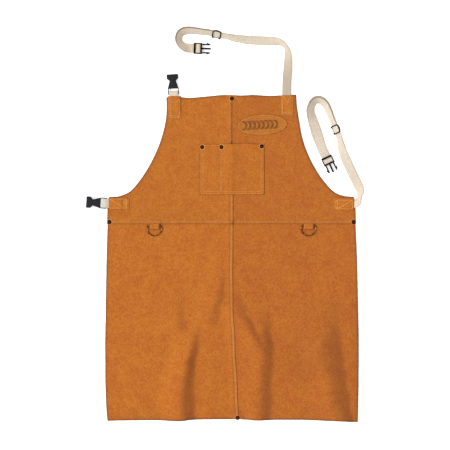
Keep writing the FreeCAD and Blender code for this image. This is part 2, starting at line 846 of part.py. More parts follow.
def make_neck_strap():
    edge = S.bib_height.value
    root_y = edge + 2.2
    run = [Station(155.5, root_y), Station(156.5, 400), Station(160, 446, 28),
           Station(158.5, 474, 42), Station(152.5, 492, 64), Station(140.5, 503.5, 44),
           Station(125, 508, 34), Station(94.5, 510, 22), Station(52, 512, 28),
           Station(14, 516, 45, 1.5)]
    loop = [Station(-97, 538, 55), Station(-123, 540, 50), Station(-141, 534.5, 50),
            Station(-149.5, 520, 50), Station(-146.4, 504, 46), Station(-134, 492.6, 36),
            Station(-121, 489.8, 16), plug_entry(NECK_PLUG)]
    make_long_strap("neck", run, NECK_STRETCH, loop, heading(90), heading(NECK_PLUG[2]))
    anchor = straight_ribbon(Station(155.5, edge - 30, 0, S.leather.value),
                             Station(155.5, edge, 0, S.leather.value), S.web.value)
    strap_node("neck_strap_root", anchor)


def make_waist_strap():
    run = [Station(359.9, 72, 66), Station(362.5, 86, 42), Station(357.6, 101, 16),
           Station(345.5, 127, 6), Station(326, 168, 12), Station(312, 202, 36)]
    loop = [Station(275.5, 311, 56), Station(264.5, 332.5, 52), Station(250.5, 344, 52),
            Station(236, 343.5, 52), Station(225, 331, 50), Station(221.5, 310, 38),
            Station(230.5, 279, 14), Station(247, 234, 2), plug_entry(WAIST_PLUG)]
    make_long_strap("waist", run, WAIST_STRETCH, loop, heading(WAIST_EXIT), heading(WAIST_PLUG[2]))
    y = S.waist_web_y.value
    lift = S.leather.value
    root = [Station(315, y, 0, lift), Station(331, y, 0, lift), Station(347, y, 0, lift),
            Station(353, y + 2.2, 35, 0.4), Station(357, y + 8.3, 56), Station(359.7, y + 18.9, 66)]
    strap_node("waist_strap_root", ribbon(root, heading(0), heading(WAIST_EXIT), S.web.value))



def make_sliders():
    for name, stretch in (("neck_slider", NECK_STRETCH), ("waist_slider", WAIST_STRETCH)):
        first, last = stretch
        middle = V((first.x + last.x) / 2, (first.y + last.y) / 2, 0)
        bank = math.radians(SLIDER_TILT)
        middle.z = (S.web_width.value / 2 * math.sin(bank) + S.web.value / 2 * math.cos(bank)
                    + SLIDER_LIFT)
        turn = math.degrees(math.atan2(last.y - first.y, last.x - first.x))
        make_slider(name, middle, turn, -SLIDER_TILT)


# ---------------------------------------------------------------- the whole apron

S.plug_mid = S.web + S.bar_radius + 0.4

make_bib_left()
make_bib_right()
make_skirt_left()
make_skirt_right()
make_pocket()
make_badge()
make_tabs()
SHORT_NECK = (-S.neck_tab_x - 2, S.bib_height + S.bar_reach, 94)
SHORT_WAIST = (-S.ledge_outer_half - S.bar_reach - 2, S.waist_tab_y + 1.5, 176)
for part_name, (bar_x, bar_y, angle) in (("neck", SHORT_NECK), ("waist", SHORT_WAIST)):
    make_short_strap(part_name + "_short_strap", bar_x, bar_y, angle)
    make_socket(part_name + "_buckle_socket", bar_x, bar_y, angle)
for part_name, plug in (("neck", NECK_PLUG), ("waist", WAIST_PLUG)):
    make_plug_frame(part_name + "_buckle_plug", *plug)
    make_plug_wrap(part_name + "_plug_webbing", *plug)
    make_plug_arm(part_name + "_plug_arm_left", 1, *plug)
    make_plug_arm(part_name + "_plug_arm_right", -1, *plug)
make_sliders()
for side_name, side in (("left", -1), ("right", 1)):
    make_ring_loop("ring_loop_" + side_name, S.ring_x * side)
    make_ring("d_ring_" + side_name, S.ring_x * side)
make_rivets()
make_neck_strap()
make_waist_strap()

doc.recompute()
for item in doc.Objects:
    if "Invalid" in item.State or "Error" in item.State:
        raise RuntimeError("%s did not recompute: %s" % (item.Name, item.State))
os.makedirs("parts", exist_ok=True)
for node in nodes:
    shape = node.Shape
    if shape.isNull() or not shape.isValid() or not shape.Solids:
        raise RuntimeError("%s has no valid solid" % node.Label)
    shape.exportStep(os.path.join("parts", node.Label + ".step"))
    box = shape.BoundBox
    print("%-24s %9.0f mm3  z %.2f..%.2f  solids %d" % (
        node.Label, shape.Volume, box.ZMin, box.ZMax, len(shape.Solids)))
print("%d nodes" % len(nodes))
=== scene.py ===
import math
import random

import bmesh
import bpy
import numpy as np
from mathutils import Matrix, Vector, geometry, noise


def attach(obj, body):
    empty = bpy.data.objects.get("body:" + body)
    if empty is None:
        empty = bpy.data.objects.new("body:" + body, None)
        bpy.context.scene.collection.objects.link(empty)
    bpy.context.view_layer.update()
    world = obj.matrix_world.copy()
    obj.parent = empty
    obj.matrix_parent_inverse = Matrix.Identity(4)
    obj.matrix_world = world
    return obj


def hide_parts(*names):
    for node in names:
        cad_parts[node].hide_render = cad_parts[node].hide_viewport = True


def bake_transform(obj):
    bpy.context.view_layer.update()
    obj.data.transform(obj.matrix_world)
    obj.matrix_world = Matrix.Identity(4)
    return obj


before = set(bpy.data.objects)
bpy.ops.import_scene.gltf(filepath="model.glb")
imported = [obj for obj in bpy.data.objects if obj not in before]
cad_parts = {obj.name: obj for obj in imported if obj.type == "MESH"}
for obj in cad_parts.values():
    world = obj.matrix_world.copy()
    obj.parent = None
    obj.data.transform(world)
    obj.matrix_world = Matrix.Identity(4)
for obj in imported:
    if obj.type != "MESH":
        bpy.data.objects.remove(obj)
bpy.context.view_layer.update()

# Welding apron, laid flat with its front up. Lengths are in metres, except in the strap routes.

HIDE = 0.0016  # thickness of the leather
WEB_WIDTH = 0.0254
WEB = 0.0018  # thickness of the webbing
SKIN = 0.0001  # room between two layers that lie on each other
LAP_UNDER = 0.0095  # how far a right panel goes under the centre seam
LAP_OVER = 0.004  # how far a left panel goes over it
LAP_AT_TOP = 0.0005
LAP_FADES = (0.09, 0.21)  # heights between which that reach shrinks
WAIST_LAP = 0.005  # how far a bib panel and a skirt panel each go past the waist seam
BIB_CENTRE_Y = 0.3575
HEM_Y = -0.5560  # where the centre seam ends
RING_X = 0.217
EDGE_STEP = 0.004  # from one point of an outline to the next
POCKET_RIVETS = [(-0.0825, 0.211), (-0.0285, 0.211), (0.085, 0.213)]
HEM_RIVET = (0.017, -0.552)
RIVETS = [(0.001, 0.348), *POCKET_RIVETS, (-0.344, 0.0), (0.344, 0.0), HEM_RIVET]
UP = Vector((0, 0, 1))


# ------------------------------------------------------------------ small helpers

def ramp(value, low, high):
    """0 at low, 1 at high, eased; low may be above high."""
    share = min(1.0, max(0.0, (value - low) / (high - low)))
    return share * share * (3 - 2 * share)


def mix(first, last, share):
    return first + (last - first) * share


def wander(x, y, scale, seed):
    """Smooth noise from -1 to 1 whose bumps are about scale metres across."""
    return noise.noise(Vector((x / scale, y / scale, seed * 7.3)))


def along(points, y):
    """x of a line given from high y to low y, at height y."""
    if y >= points[0][1]:
        return points[0][0]
    for (x0, y0), (x1, y1) in zip(points, points[1:]):
        if y >= y1:
            return mix(x0, x1, ramp(y, y0, y1))
    return points[-1][0]


def catmull(points, step=EDGE_STEP):
    """Evenly spaced points on a smooth line through 2-D or 3-D points."""
    points = [Vector(p) for p in points]
    dense = []
    for index in range(len(points) - 1):
        b, c = points[index], points[index + 1]
        a = points[index - 1] if index else b * 2 - c
        d = points[index + 2] if index + 2 < len(points) else c * 2 - b
        pieces = max(2, int((c - b).length / step * 2))
        for number in range(pieces):
            t = number / pieces
            dense.append(0.5 * ((2 * b) + (c - a) * t + (2 * a - 5 * b + 4 * c - d) * t * t
                                + (3 * b - a - 3 * c + d) * t ** 3))
    dense.append(points[-1])
    return resample(dense, step)


def resample(points, step=EDGE_STEP):
    """The same line with its points evenly spaced, close to step apart."""
    points = [Vector(p) for p in points]
    lengths = [0.0]
    for first, last in zip(points, points[1:]):
        lengths.append(lengths[-1] + (last - first).length)
    count = max(2, round(lengths[-1] / step))
    result = []
    index = 0
    for number in range(count + 1):
        wanted = lengths[-1] * number / count
        while index < len(lengths) - 2 and lengths[index + 1] < wanted:
            index += 1
        span = lengths[index + 1] - lengths[index] or 1.0
        result.append(points[index].lerp(points[index + 1], (wanted - lengths[index]) / span))
    return result


def chain(*lines):
    """Joins lines end to end into one closed outline."""
    return [p for line in lines for p in line[:-1]]


def add_object(name, vertices, faces, material, smooth=True):
    mesh = bpy.data.meshes.new(name)
    mesh.from_pydata([tuple(v) for v in vertices], [], faces)
    mesh.materials.append(material)
    if smooth:
        mesh.shade_smooth()
    piece = bpy.data.objects.new(name, mesh)
    bpy.context.scene.collection.objects.link(piece)
    return piece


def tube_faces(start, rings, sides):
    """Faces of a closed tube whose rings of vertices follow each other from start."""
    faces = []
    for ring in range(rings - 1):
        for number in range(sides):
            a = start + ring * sides + number
            b = start + ring * sides + (number + 1) % sides
            faces.append((a, b, b + sides, a + sides))
    last = start + (rings - 1) * sides
    return faces + [tuple(range(start, start + sides))[::-1], tuple(range(last, last + sides))]


def set_attribute(piece, name, values):
    layer = piece.data.attributes.new(name, "FLOAT", "POINT")
    layer.data.foreach_set("value", values)


# ------------------------------------------------------------------ materials

class Shader:
    """A material's node tree, with short calls to add and join nodes."""

    def __init__(self, name, colour, roughness, **settings):
        self.material = bpy.data.materials.new(name)
        self.material.use_nodes = True
        self.tree = self.material.node_tree
        self.surface = self.tree.nodes["Principled BSDF"]
        self.object_space = self.add("ShaderNodeTexCoord").outputs["Object"]
        self.finish(Base_Color=(*colour, 1.0), Roughness=roughness, **settings)

    def add(self, kind, settings=None, **sockets):
        node = self.tree.nodes.new(kind)
        for key, value in (settings or {}).items():
            setattr(node, key, value)
        for key, value in sockets.items():
            self.feed(node.inputs[key.replace("_", " ")], value)
        return node

    def feed(self, socket, value):
        if isinstance(value, bpy.types.NodeSocket):
            self.tree.links.new(value, socket)
        else:
            socket.default_value = value

    def finish(self, **sockets):
        """Gives those sockets of the surface a value or a link, and returns the material."""
        for key, value in sockets.items():
            self.feed(self.surface.inputs[key.replace("_", " ")], value)
        return self.material

    def stretched(self, scale, turn=0.0, source=None):
        mapping = self.add("ShaderNodeMapping", Scale=scale, Rotation=(0, 0, turn))
        self.feed(mapping.inputs["Vector"], source or self.object_space)
        return mapping.outputs["Vector"]

    def clouds(self, size, detail=3.0, rough=0.5, source=None, distortion=0.0):
        """Noise from 0 to 1 with features about size metres across."""
        node = self.add("ShaderNodeTexNoise", Scale=1 / size, Detail=detail, Roughness=rough,
                        Distortion=distortion)
        self.feed(node.inputs["Vector"], source or self.object_space)
        return node.outputs["Fac"]

    def maths(self, operation, *values):
        node = self.add("ShaderNodeMath", {"operation": operation})
        for socket, value in zip(node.inputs, values):
            self.feed(socket, value)
        return node.outputs[0]

    def span(self, value, low, high, to_low=0.0, to_high=1.0):
        node = self.add("ShaderNodeMapRange", {"interpolation_type": "SMOOTHSTEP"})
        for socket, item in zip(node.inputs, (value, low, high, to_low, to_high)):
            self.feed(socket, item)
        return node.outputs[0]

    def colours(self, value, stops):
        node = self.add("ShaderNodeValToRGB")
        self.feed(node.inputs["Fac"], value)
        items = node.color_ramp.elements
        for number, (place, colour) in enumerate(stops):
            item = items[number] if number < 2 else items.new(place)
            item.position = place
            item.color = (*colour, 1.0)
        return node.outputs["Color"]

    def blend(self, share, first, last, mode="MIX"):
        node = self.add("ShaderNodeMix", {"data_type": "RGBA", "blend_type": mode})
        self.feed(node.inputs[0], share)
        self.feed(node.inputs[6], first if isinstance(first, bpy.types.NodeSocket) else (*first, 1))
        self.feed(node.inputs[7], last if isinstance(last, bpy.types.NodeSocket) else (*last, 1))
        return node.outputs[2]

    def stain(self, share, base, colour, factor):
        """The base, turned by that share towards the colour times a factor."""
        return self.blend(share, base, tint(colour, factor))

    def attribute(self, name):
        return self.add("ShaderNodeAttribute", {"attribute_name": name}).outputs["Fac"]

    def bump(self, *layers):
        """The normal that layers of (height, strength, distance) give, one over the other."""
        normal = None
        for height, strength, distance in layers:
            node = self.add("ShaderNodeBump", Strength=strength, Distance=distance, Height=height)
            if normal is not None:
                self.feed(node.inputs["Normal"], normal)
            normal = node.outputs["Normal"]
        return normal


def tint(colour, factor):
    return tuple(min(1.0, c * f) for c, f in zip(colour, factor))


def seam_highlight_and_shade(shader, base, colour):
    """Painted highlight on a seam's raised middle, and painted shade in the groove along its left."""
    offset = shader.attribute("seam")
    ridge = shader.maths("ABSOLUTE", shader.maths("SUBTRACT", offset, 0.0003))
    ridge = shader.span(ridge, 0.0002, 0.0034, 0.26, 0.0)
    base = shader.stain(ridge, base, colour, (1.30, 1.50, 2.2))
    groove = shader.maths("ABSOLUTE", shader.maths("ADD", offset, 0.0046))
    groove = shader.span(groove, 0.0002, 0.0028, 0.36, 0.0)
    return shader.stain(groove, base, colour, (0.52, 0.50, 0.7))


def rivet_marks(shader, base, colour):
    """A pale ring where each rivet's setting tool pressed the nap flat."""
    nearest = 1.0
    for x, y in RIVETS:
        spot = shader.add("ShaderNodeVectorMath", {"operation": "DISTANCE"})
        shader.feed(spot.inputs[0], shader.object_space)
        shader.feed(spot.inputs[1], (x, y, 0.004))
        nearest = shader.maths("MINIMUM", nearest, spot.outputs["Value"])
    ring = shader.span(nearest, 0.0096, 0.0070, 0.0, 0.75)
    return shader.stain(ring, base, colour, (1.35, 1.85, 4.6))


def make_suede(name, colour, strength=1.0, edge=0.9):
    """Split cowhide: a short nap, blotches of tan, darker cut edges that are partly painted shade,
    painted shade on folds, creases and seam grooves, and a painted highlight on seam ridges.
    """
    shader = Shader(name, colour, 0.92, Sheen_Weight=0.08, Sheen_Roughness=0.45,
                    Sheen_Tint=(1.0, 0.62, 0.28, 1.0), Specular_IOR_Level=0.22)
    hue = shader.clouds(0.045, 3.0, 0.55, distortion=0.3)
    patch = shader.clouds(0.018, 3.0, 0.55)
    mottle = shader.clouds(0.0060, 3.0, 0.62)
    nap = shader.clouds(1.0, 2.5, 0.6, shader.stretched((430, 240, 400), 0.25))
    fibre = shader.clouds(1.0, 3.0, 0.7, shader.stretched((1900, 620, 900), -0.35), 0.6)
    base = shader.colours(shader.span(hue, 0.33, 0.67), [
        (0.0, tint(colour, (0.975, 0.93, 1.03))),
        (1.0, tint(colour, (1.02, 1.06, 0.96))),
        (0.5, colour),
    ])
    share = 0.0
    for cloud, weight in ((patch, 0.10), (mottle, 0.26), (nap, 0.44), (fibre, 0.20)):
        share = shader.maths("MULTIPLY_ADD", cloud, weight, share)
    wide = 0.088 / strength
    tone = shader.colours(shader.span(share, 0.5 - wide, 0.5 + wide), [
        (0.0, (0.79, 0.63, 0.48)),
        (1.0, (1.0, 1.0, 1.0)),
        (0.55, (0.917, 0.85, 0.80)),
    ])
    base = shader.blend(1.0, base, tone, "MULTIPLY")
    base = shader.blend(1.0, base, (1.095, 1.168, 1.24), "MULTIPLY")
    base = seam_highlight_and_shade(shader, base, colour)
    base = rivet_marks(shader, base, colour)
    # Painted shade on folds, slopes, creases and the ring loops' folds, with darker patches of hide
    # and darker handled edges.
    shade_stain_and_wear = shader.maths("MULTIPLY", shader.attribute("shade_stain_and_wear"), 0.46)
    base = shader.stain(shade_stain_and_wear, base, colour, (0.42, 0.39, 0.80))
    # Dark rim along cut edges: partly the edge's own darker colour, partly painted shade of the edge's
    # side and of the step it makes, and painted shade where the pocket stands open.
    rim = shader.span(shader.attribute("rim"), 0.0003, 0.0018, edge, 0.0)
    base = shader.stain(rim, base, colour, (0.24, 0.28, 0.5))
    normal = shader.bump((patch, 0.30, 0.0014), (mottle, 0.50, 0.0010), (nap, 0.55, 0.0007),
                         (fibre, 0.60, 0.00030))
    rough = shader.span(mottle, 0.3, 0.7, 0.98, 0.84)
    shader.finish(Base_Color=base, Roughness=rough, Normal=normal)
    return shader


def make_webbing(name, colour):
    """Cotton webbing: a plain weave in rows across and columns along the strap."""
    shader = Shader(name, colour, 0.9, Sheen_Weight=0.15, Sheen_Roughness=0.5,
                    Specular_IOR_Level=0.25)
    uv = shader.add("ShaderNodeUVMap", {"uv_map": "strap"}).outputs["UV"]
    parts = shader.add("ShaderNodeSeparateXYZ", Vector=uv)
    across, length = parts.outputs["X"], parts.outputs["Y"]
    column = shader.maths("SINE", shader.maths("MULTIPLY", across, math.pi / 0.85))
    row = shader.maths("SINE", shader.maths("MULTIPLY", length, math.pi / 0.95))
    weave = shader.maths("MULTIPLY", column, row)
    ribs = shader.maths("ABSOLUTE", column)
    slub = shader.clouds(1.0, 3.0, 0.6, shader.stretched((0.22, 0.22, 1.0), 0.0, uv))
    stain = shader.clouds(0.03, 3.0, 0.55)
    fuzz = shader.clouds(0.0012, 2.0, 0.7)
    base = shader.colours(shader.span(slub, 0.3, 0.7), [
        (0.0, tint(colour, (0.86, 0.84, 0.80))),
        (1.0, tint(colour, (1.06, 1.07, 1.09))),
    ])
    soil_and_shade = shader.span(stain, 0.45, 0.75, 0.0, 0.35)
    base = shader.stain(soil_and_shade, base, colour, (0.84, 0.80, 0.74))
    # Painted shade on one edge of the strap where it is turned.
    turned = shader.maths("MULTIPLY", shader.span(across, 22.6, 24.2), shader.attribute("turned"))
    base = shader.stain(turned, base, colour, (0.30, 0.27, 0.23))
    gap = shader.span(weave, -0.15, -0.9, 0.0, 0.32)
    base = shader.stain(gap, base, colour, (0.52, 0.48, 0.42))
    # Painted shade along parts of the strap, as a function of its route gives it.
    strap_shade = shader.maths("MULTIPLY", shader.attribute("strap_shade"), 0.85)
    base = shader.stain(strap_shade, base, colour, (0.66, 0.64, 0.62))
    # Painted shade along both edges of the strap.
    edge = shader.maths("ABSOLUTE", shader.maths("SUBTRACT", across, 12.7))
    edge = shader.span(edge, 11.3, 12.6, 0.0, 0.75)
    base = shader.stain(edge, base, colour, (0.45, 0.42, 0.40))
    normal = shader.bump((weave, 0.6, 0.00030), (ribs, 0.3, 0.00020), (fuzz, 0.35, 0.00015))
    return shader.finish(Base_Color=base, Normal=normal)


def make_plastic(name, colour, shine):
    """Black moulded acetal with a faint spark-eroded texture and scuffs."""
    shader = Shader(name, colour, 0.40, Specular_IOR_Level=shine)
    grain = shader.clouds(0.0006, 2.0, 0.5)
    flow = shader.clouds(0.009, 3.0, 0.5)
    scuff = shader.clouds(1.0, 4.0, 0.7, shader.stretched((900, 120, 500), 0.6))
    worn = shader.span(scuff, 0.62, 0.75)
    base = shader.blend(worn, colour, tint(colour, (4.4, 4.4, 4.1)))
    rough = shader.maths("MULTIPLY_ADD", worn, 0.15, shader.span(flow, 0.3, 0.7, 0.34, 0.50))
    normal = shader.bump((grain, 0.25, 0.00008))
    return shader.finish(Base_Color=base, Roughness=rough, Normal=normal)


def make_ring_metal():
    """Brown antiqued steel wire, rubbed brighter here and there."""
    shader = Shader("antiqued_wire", (0.20, 0.12, 0.07), 0.45, Metallic=1.0)
    wear = shader.clouds(0.004, 4.0, 0.6)
    base = shader.colours(shader.span(wear, 0.32, 0.70), [
        (0.0, (0.060, 0.022, 0.006)),
        (1.0, (0.42, 0.25, 0.085)),
        (0.60, (0.140, 0.058, 0.016)),
    ])
    return shader.finish(Base_Color=base, Roughness=shader.span(wear, 0.3, 0.7, 0.48, 0.24),
                         Normal=shader.bump((shader.clouds(0.0008, 3.0), 0.2, 0.00010)))


def make_rivet_metal():
    """Dark japanned cap, rubbed towards bare metal mostly at its crown, where the brighter colour is
    also a painted highlight, and a little near its rim.
    """
    japan = (0.007, 0.0005, 0.0002)
    shader = Shader("japanned_rivet", japan, 0.34, Specular_IOR_Level=0.04,
                    Specular_Tint=(1.0, 0.20, 0.08, 1.0))
    wear = shader.clouds(0.0016, 4.0, 0.6)
    wear_and_highlight = shader.maths("MULTIPLY", shader.attribute("wear_and_highlight"), shader.span(wear, 0.3, 0.6))
    return shader.finish(Base_Color=shader.blend(wear_and_highlight, japan, (0.17, 0.055, 0.010)),
                         Metallic=shader.maths("MULTIPLY", wear_and_highlight, 0.5),
                         Roughness=shader.span(wear, 0.3, 0.7, 0.38, 0.24),
                         Normal=shader.bump((wear, 0.15, 0.00012)))


def make_thread(name, colour):
    """Two-ply aramid thread; its twist shows as fine slanting bands."""
    shader = Shader(name, colour, 0.75, Sheen_Weight=0.2)
    twist = shader.add("ShaderNodeTexWave", {"bands_direction": "DIAGONAL"}, Scale=520.0,
                       Distortion=1.2, Detail=1.0)
    shader.feed(twist.inputs["Vector"], shader.object_space)
    shade = shader.clouds(0.012, 2.0)
    base = shader.blend(shader.span(shade, 0.3, 0.7, 0.0, 0.6), colour, tint(colour, (0.7, 0.62, 0.5)))
    normal = shader.bump((twist.outputs["Fac"], 0.5, 0.00012))
    return shader.finish(Base_Color=base, Normal=normal)


def make_badge_leather(colour):
    """The badge's smoother leather, with its branded pattern burnt in."""
    shader = make_suede("badge_leather", colour, 0.9, 0.2)
    before = shader.surface.inputs["Base Color"].links[0].from_socket
    burnt = shader.blend(shader.attribute("brand"), before, tint(colour, (0.40, 0.40, 0.7)))
    return shader.finish(Base_Color=burnt)


LIGHT = 1.42


def lit(red, green, blue):
    """The colour that a surface needs to show this one in the scene's light."""
    return red / LIGHT, green / LIGHT, blue / LIGHT


LEFT_BIB = lit(0.525, 0.160, 0.019)

suede_left = make_suede("suede_bib_left", LEFT_BIB).material
suede_right = make_suede("suede_bib_right", lit(0.500, 0.147, 0.019)).material
suede_skirt_left = make_suede("suede_skirt_left", lit(0.540, 0.160, 0.019)).material
suede_skirt_right = make_suede("suede_skirt_right", lit(0.500, 0.144, 0.019)).material
suede_pocket = make_suede("suede_pocket", lit(0.535, 0.162, 0.019), 1.0, 0.5).material
suede_tab = make_suede("suede_tab", lit(0.550, 0.172, 0.021), 1.0, 0.2).material
badge_leather = make_badge_leather(tint(LEFT_BIB, (0.97, 1.06, 1.2)))
neck_cotton = make_webbing("webbing_neck", lit(0.86, 0.74, 0.59))
waist_cotton = make_webbing("webbing_waist", lit(0.88, 0.76, 0.62))
socket_plastic = make_plastic("plastic_socket", (0.009, 0.009, 0.011), 0.18)
plug_plastic = make_plastic("plastic_plug", (0.0025, 0.0025, 0.003), 0.02)
ring_metal = make_ring_metal()
rivet_metal = make_rivet_metal()
seam_thread = make_thread("thread_tan", (0.58, 0.27, 0.060))
pale_thread = make_thread("thread_pale", (0.62, 0.34, 0.11))
gold_thread = make_thread("thread_gold", (0.78, 0.38, 0.055))


# ------------------------------------------------------------------ how the leather lies

SEAM = [(0.0, 0.0), (-0.0012, -0.150), (-0.0002, -0.240), (0.0055, -0.350), (0.0115, -0.470),
        (0.015, -0.559)]

# The dark side of each fold, from its top to its bottom: line, height, half width of the dark
# slope at its top and bottom, how much longer its crest side is, and whether it reaches the hem.
FOLDS = [
    ([(-0.096, -0.300), (-0.100, -0.345), (-0.112, -0.400), (-0.121, -0.455), (-0.119, -0.505),
      (-0.116, -0.580)], 0.0158, 0.009, 0.0185, 1.2, True),
    ([(-0.018, -0.125), (-0.0235, -0.160), (-0.028, -0.205), (-0.043, -0.250), (-0.047, -0.300)],
     0.0070, 0.008, 0.0105, 1.2, False),
    ([(-0.147, -0.195), (-0.142, -0.265), (-0.130, -0.325)], 0.0055, 0.009, 0.011, 1.3, False),
    ([(0.019, -0.195), (0.034, -0.254), (0.061, -0.299), (0.075, -0.329), (0.092, -0.370)],
     0.0095, 0.009, 0.0085, 1.8, False),
    ([(0.095, -0.240), (0.103, -0.310), (0.107, -0.370), (0.106, -0.430), (0.102, -0.490),
      (0.098, -0.580)], 0.0115, 0.010, 0.0145, 1.6, True),
    ([(0.290, -0.250), (0.296, -0.330), (0.304, -0.400), (0.309, -0.430), (0.318, -0.480),
      (0.323, -0.510), (0.336, -0.580)], 0.0130, 0.015, 0.0140, 2.4, True),
]
# Darker places in the leather's colour: redder patches of hide, and painted shade on slopes and in
# pressed creases and puckers: x, y, half length, half width, turn in degrees, depth.
SHADES = [
    (0.215, -0.385, 0.105, 0.085, 80, 0.34), (0.352, -0.400, 0.260, 0.034, 88, 0.30),
    (-0.030, -0.420, 0.190, 0.040, 90, 0.20), (-0.230, -0.562, 0.190, 0.040, 0, 0.26),
    (-0.010, -0.560, 0.080, 0.050, 0, 0.22), (-0.018, -0.190, 0.080, 0.014, 92, 0.26),
    (0.240, -0.540, 0.060, 0.050, 0, 0.22), (0.260, -0.240, 0.120, 0.050, 10, 0.14),
    (0.045, 0.140, 0.060, 0.034, 90, 0.17), (0.012, 0.155, 0.070, 0.010, 88, 0.16),
    (-0.302, 0.068, 0.036, 0.014, 0, 0.30), (0.014, 0.300, 0.080, 0.014, 90, 0.13),
    (0.115, 0.325, 0.045, 0.030, 0, 0.12), (-0.150, 0.015, 0.160, 0.026, 0, 0.14),
    (-0.093, -0.283, 0.070, 0.005, 2, 0.20), (-0.0085, 0.041, 0.023, 0.005, 78, 0.34),
    (0.017, 0.029, 0.016, 0.0045, 62, 0.30),
]
# Places that lie flat, because hardware or a seam holds them: x, y, radius.
CALM = [(-RING_X, -0.020, 0.05), (RING_X, -0.020, 0.05), (-0.344, 0.0, 0.03),
        (0.344, 0.0, 0.03), (0.017, -0.552, 0.03), (-0.160, 0.340, 0.05),
        (0.160, 0.340, 0.05), (-0.320, 0.050, 0.05), (0.320, 0.050, 0.05)]


def seam_x(y):
    return 0.0 if y >= 0 else along(SEAM, y)


def lap_over(y):
    """How far a left panel's edge reaches over the seam; less and less above the pocket."""
    return mix(LAP_OVER, LAP_AT_TOP, ramp(y, *LAP_FADES))


def seam_offset(x, y):
    """Distance to the right of the seam, which places the painted highlight on its ridge and the
    painted shade in its groove; above the pocket only the painted groove shade shows.
    """
    if y < LAP_FADES[0]:
        return x - seam_x(y)
    return min(x - 0.001, -0.0060) if y > LAP_FADES[1] and x < 0.0008 else 1.0


def fold_parts(x, y):
    """Height of the folds at a place, and how much painted shade darkens it on their dark sides."""
    height = 0.0
    dark = 0.0
    for path, top, half_high, half_low, crest, open_end in FOLDS:
        high, low = path[0][1], path[-1][1]
        fade = ramp(y, high + 0.03, high - 0.11)
        if not open_end:
            fade *= ramp(y, low - 0.02, low + 0.055)
        if fade <= 0:
            continue
        half = mix(half_high, half_low, ramp(y, high, low))
        half *= 1 + 0.18 * wander(y, 1.0, 0.05, top * 700)
        side = x - along(path, y) + wander(y, 0.0, 0.04, top * 900) * 0.004
        left, right = half * 1.45 * crest, half * 1.45
        if not -left - 0.08 < side < right:
            continue
        back = ramp(side, -left - 0.065, -left * 0.8)
        height += top * fade * back * (1 - ramp(side, -left, right))
        dark += top * fade * ramp(side, -left, half * 0.2) * ramp(side, right, half * 0.2)
    return height, min(1.0, dark / 0.013)


def shade(x, y):
    """How far the colour is darkened at a place: painted shade on folds, slopes, creases and puckers,
    and darker patches of hide.
    """
    dark = fold_parts(x, y)[1]
    for spot_x, spot_y, long, wide, turn, depth in SHADES:
        dx, dy = x - spot_x, y - spot_y
        if abs(dx) > long + wide or abs(dy) > long + wide:
            continue
        c, s = math.cos(math.radians(turn)), math.sin(math.radians(turn))
        distance = math.hypot((dx * c + dy * s) / long, (dy * c - dx * s) / wide)
        dark += depth * ramp(distance + 0.25 * wander(x, y, 0.03, depth * 90), 1.15, 0.25)
    return dark


def calm(x, y):
    share = 1.0
    for spot_x, spot_y, reach in CALM:
        distance = math.hypot(x - spot_x, y - spot_y)
        share *= ramp(distance, reach * 0.6, reach * 1.6)
    return share


def lie(x, y):
    """Height of the underside of the lowest leather layer."""
    height = fold_parts(x, y)[0]
    wave = 0.5 + 0.5 * wander(x, y, 0.085, 1)
    pucker = 0.5 + 0.5 * wander(x, y, 0.034, 2)
    bottom = ramp(y, 0.02, -0.12)
    swell = wave * mix(0.0016, 0.0030, bottom) + pucker * 0.0007
    near_seam = ramp(abs(x - seam_x(y)), 0.055, 0.006)
    swell += near_seam * 0.0007 * (0.5 + 0.5 * wander(x, y, 0.016, 3))
    return calm(x, y) * (height + swell)


def left_lap(x, y):
    """How far a left panel has climbed over the hidden edge of the right one."""
    return ramp(x - seam_x(y), -0.0180, -0.0102)


def ring_loop_stack(x):
    """Leather of the D-ring loops that is sewn in under the bib's edge."""
    side = abs(abs(x) - RING_X)
    return 0.0022 * ramp(side, 0.0190, 0.0140)


def under_bib(x, y):
    """Thickness of what lies under the bib: the skirt's top edge and the loops."""
    on_skirt = ramp(y, 0.0125, 0.0055)
    both = left_lap(x, y) * ramp(x - seam_x(y), LAP_OVER + 0.004, LAP_OVER + 0.0005)
    return on_skirt * (HIDE * (1 + both) + ring_loop_stack(x) + SKIN)


def skirt_left_bottom(x, y):
    return lie(x, y) + (HIDE + SKIN) * left_lap(x, y)


def bib_right_bottom(x, y):
    return lie(x, y) + under_bib(x, y)


def bib_left_bottom(x, y):
    return lie(x, y) + under_bib(x, y) + (HIDE + SKIN) * left_lap(x, y)


def skirt_top(x, y):
    left = x - seam_x(y) < LAP_OVER
    return (skirt_left_bottom(x, y) if left else lie(x, y)) + HIDE


def bib_top(x, y):
    left = x < lap_over(y)
    return (bib_left_bottom(x, y) if left else bib_right_bottom(x, y)) + HIDE


# ------------------------------------------------------------------ flat pieces of leather

def outline_distance(points, outline):
    """Distance of each point from a closed outline, and whether it is inside."""
    start = np.array([(p[0], p[1]) for p in outline])
    end = np.roll(start, -1, axis=0)
    way = end - start
    found = np.empty(len(points))
    inside = np.zeros(len(points), bool)
    for first in range(0, len(points), 2000):
        block = np.array(points[first:first + 2000])
        offset = block[:, None, :] - start[None]
        share = (offset * way).sum(2) / np.maximum((way * way).sum(1), 1e-14)
        nearest = offset - np.clip(share, 0, 1)[..., None] * way
        found[first:first + 2000] = np.sqrt((nearest ** 2).sum(2).min(1))
        above = (start[None, :, 1] > block[:, None, 1]) != (end[None, :, 1] > block[:, None, 1])
        rise = np.where(np.abs(way[:, 1]) < 1e-12, 1e-12, way[:, 1])
        cross = start[None, :, 0] + (block[:, None, 1] - start[None, :, 1]) / rise * way[:, 0]
        inside[first:first + 2000] = (above & (cross > block[:, None, 0])).sum(1) % 2 == 1
    return found, inside


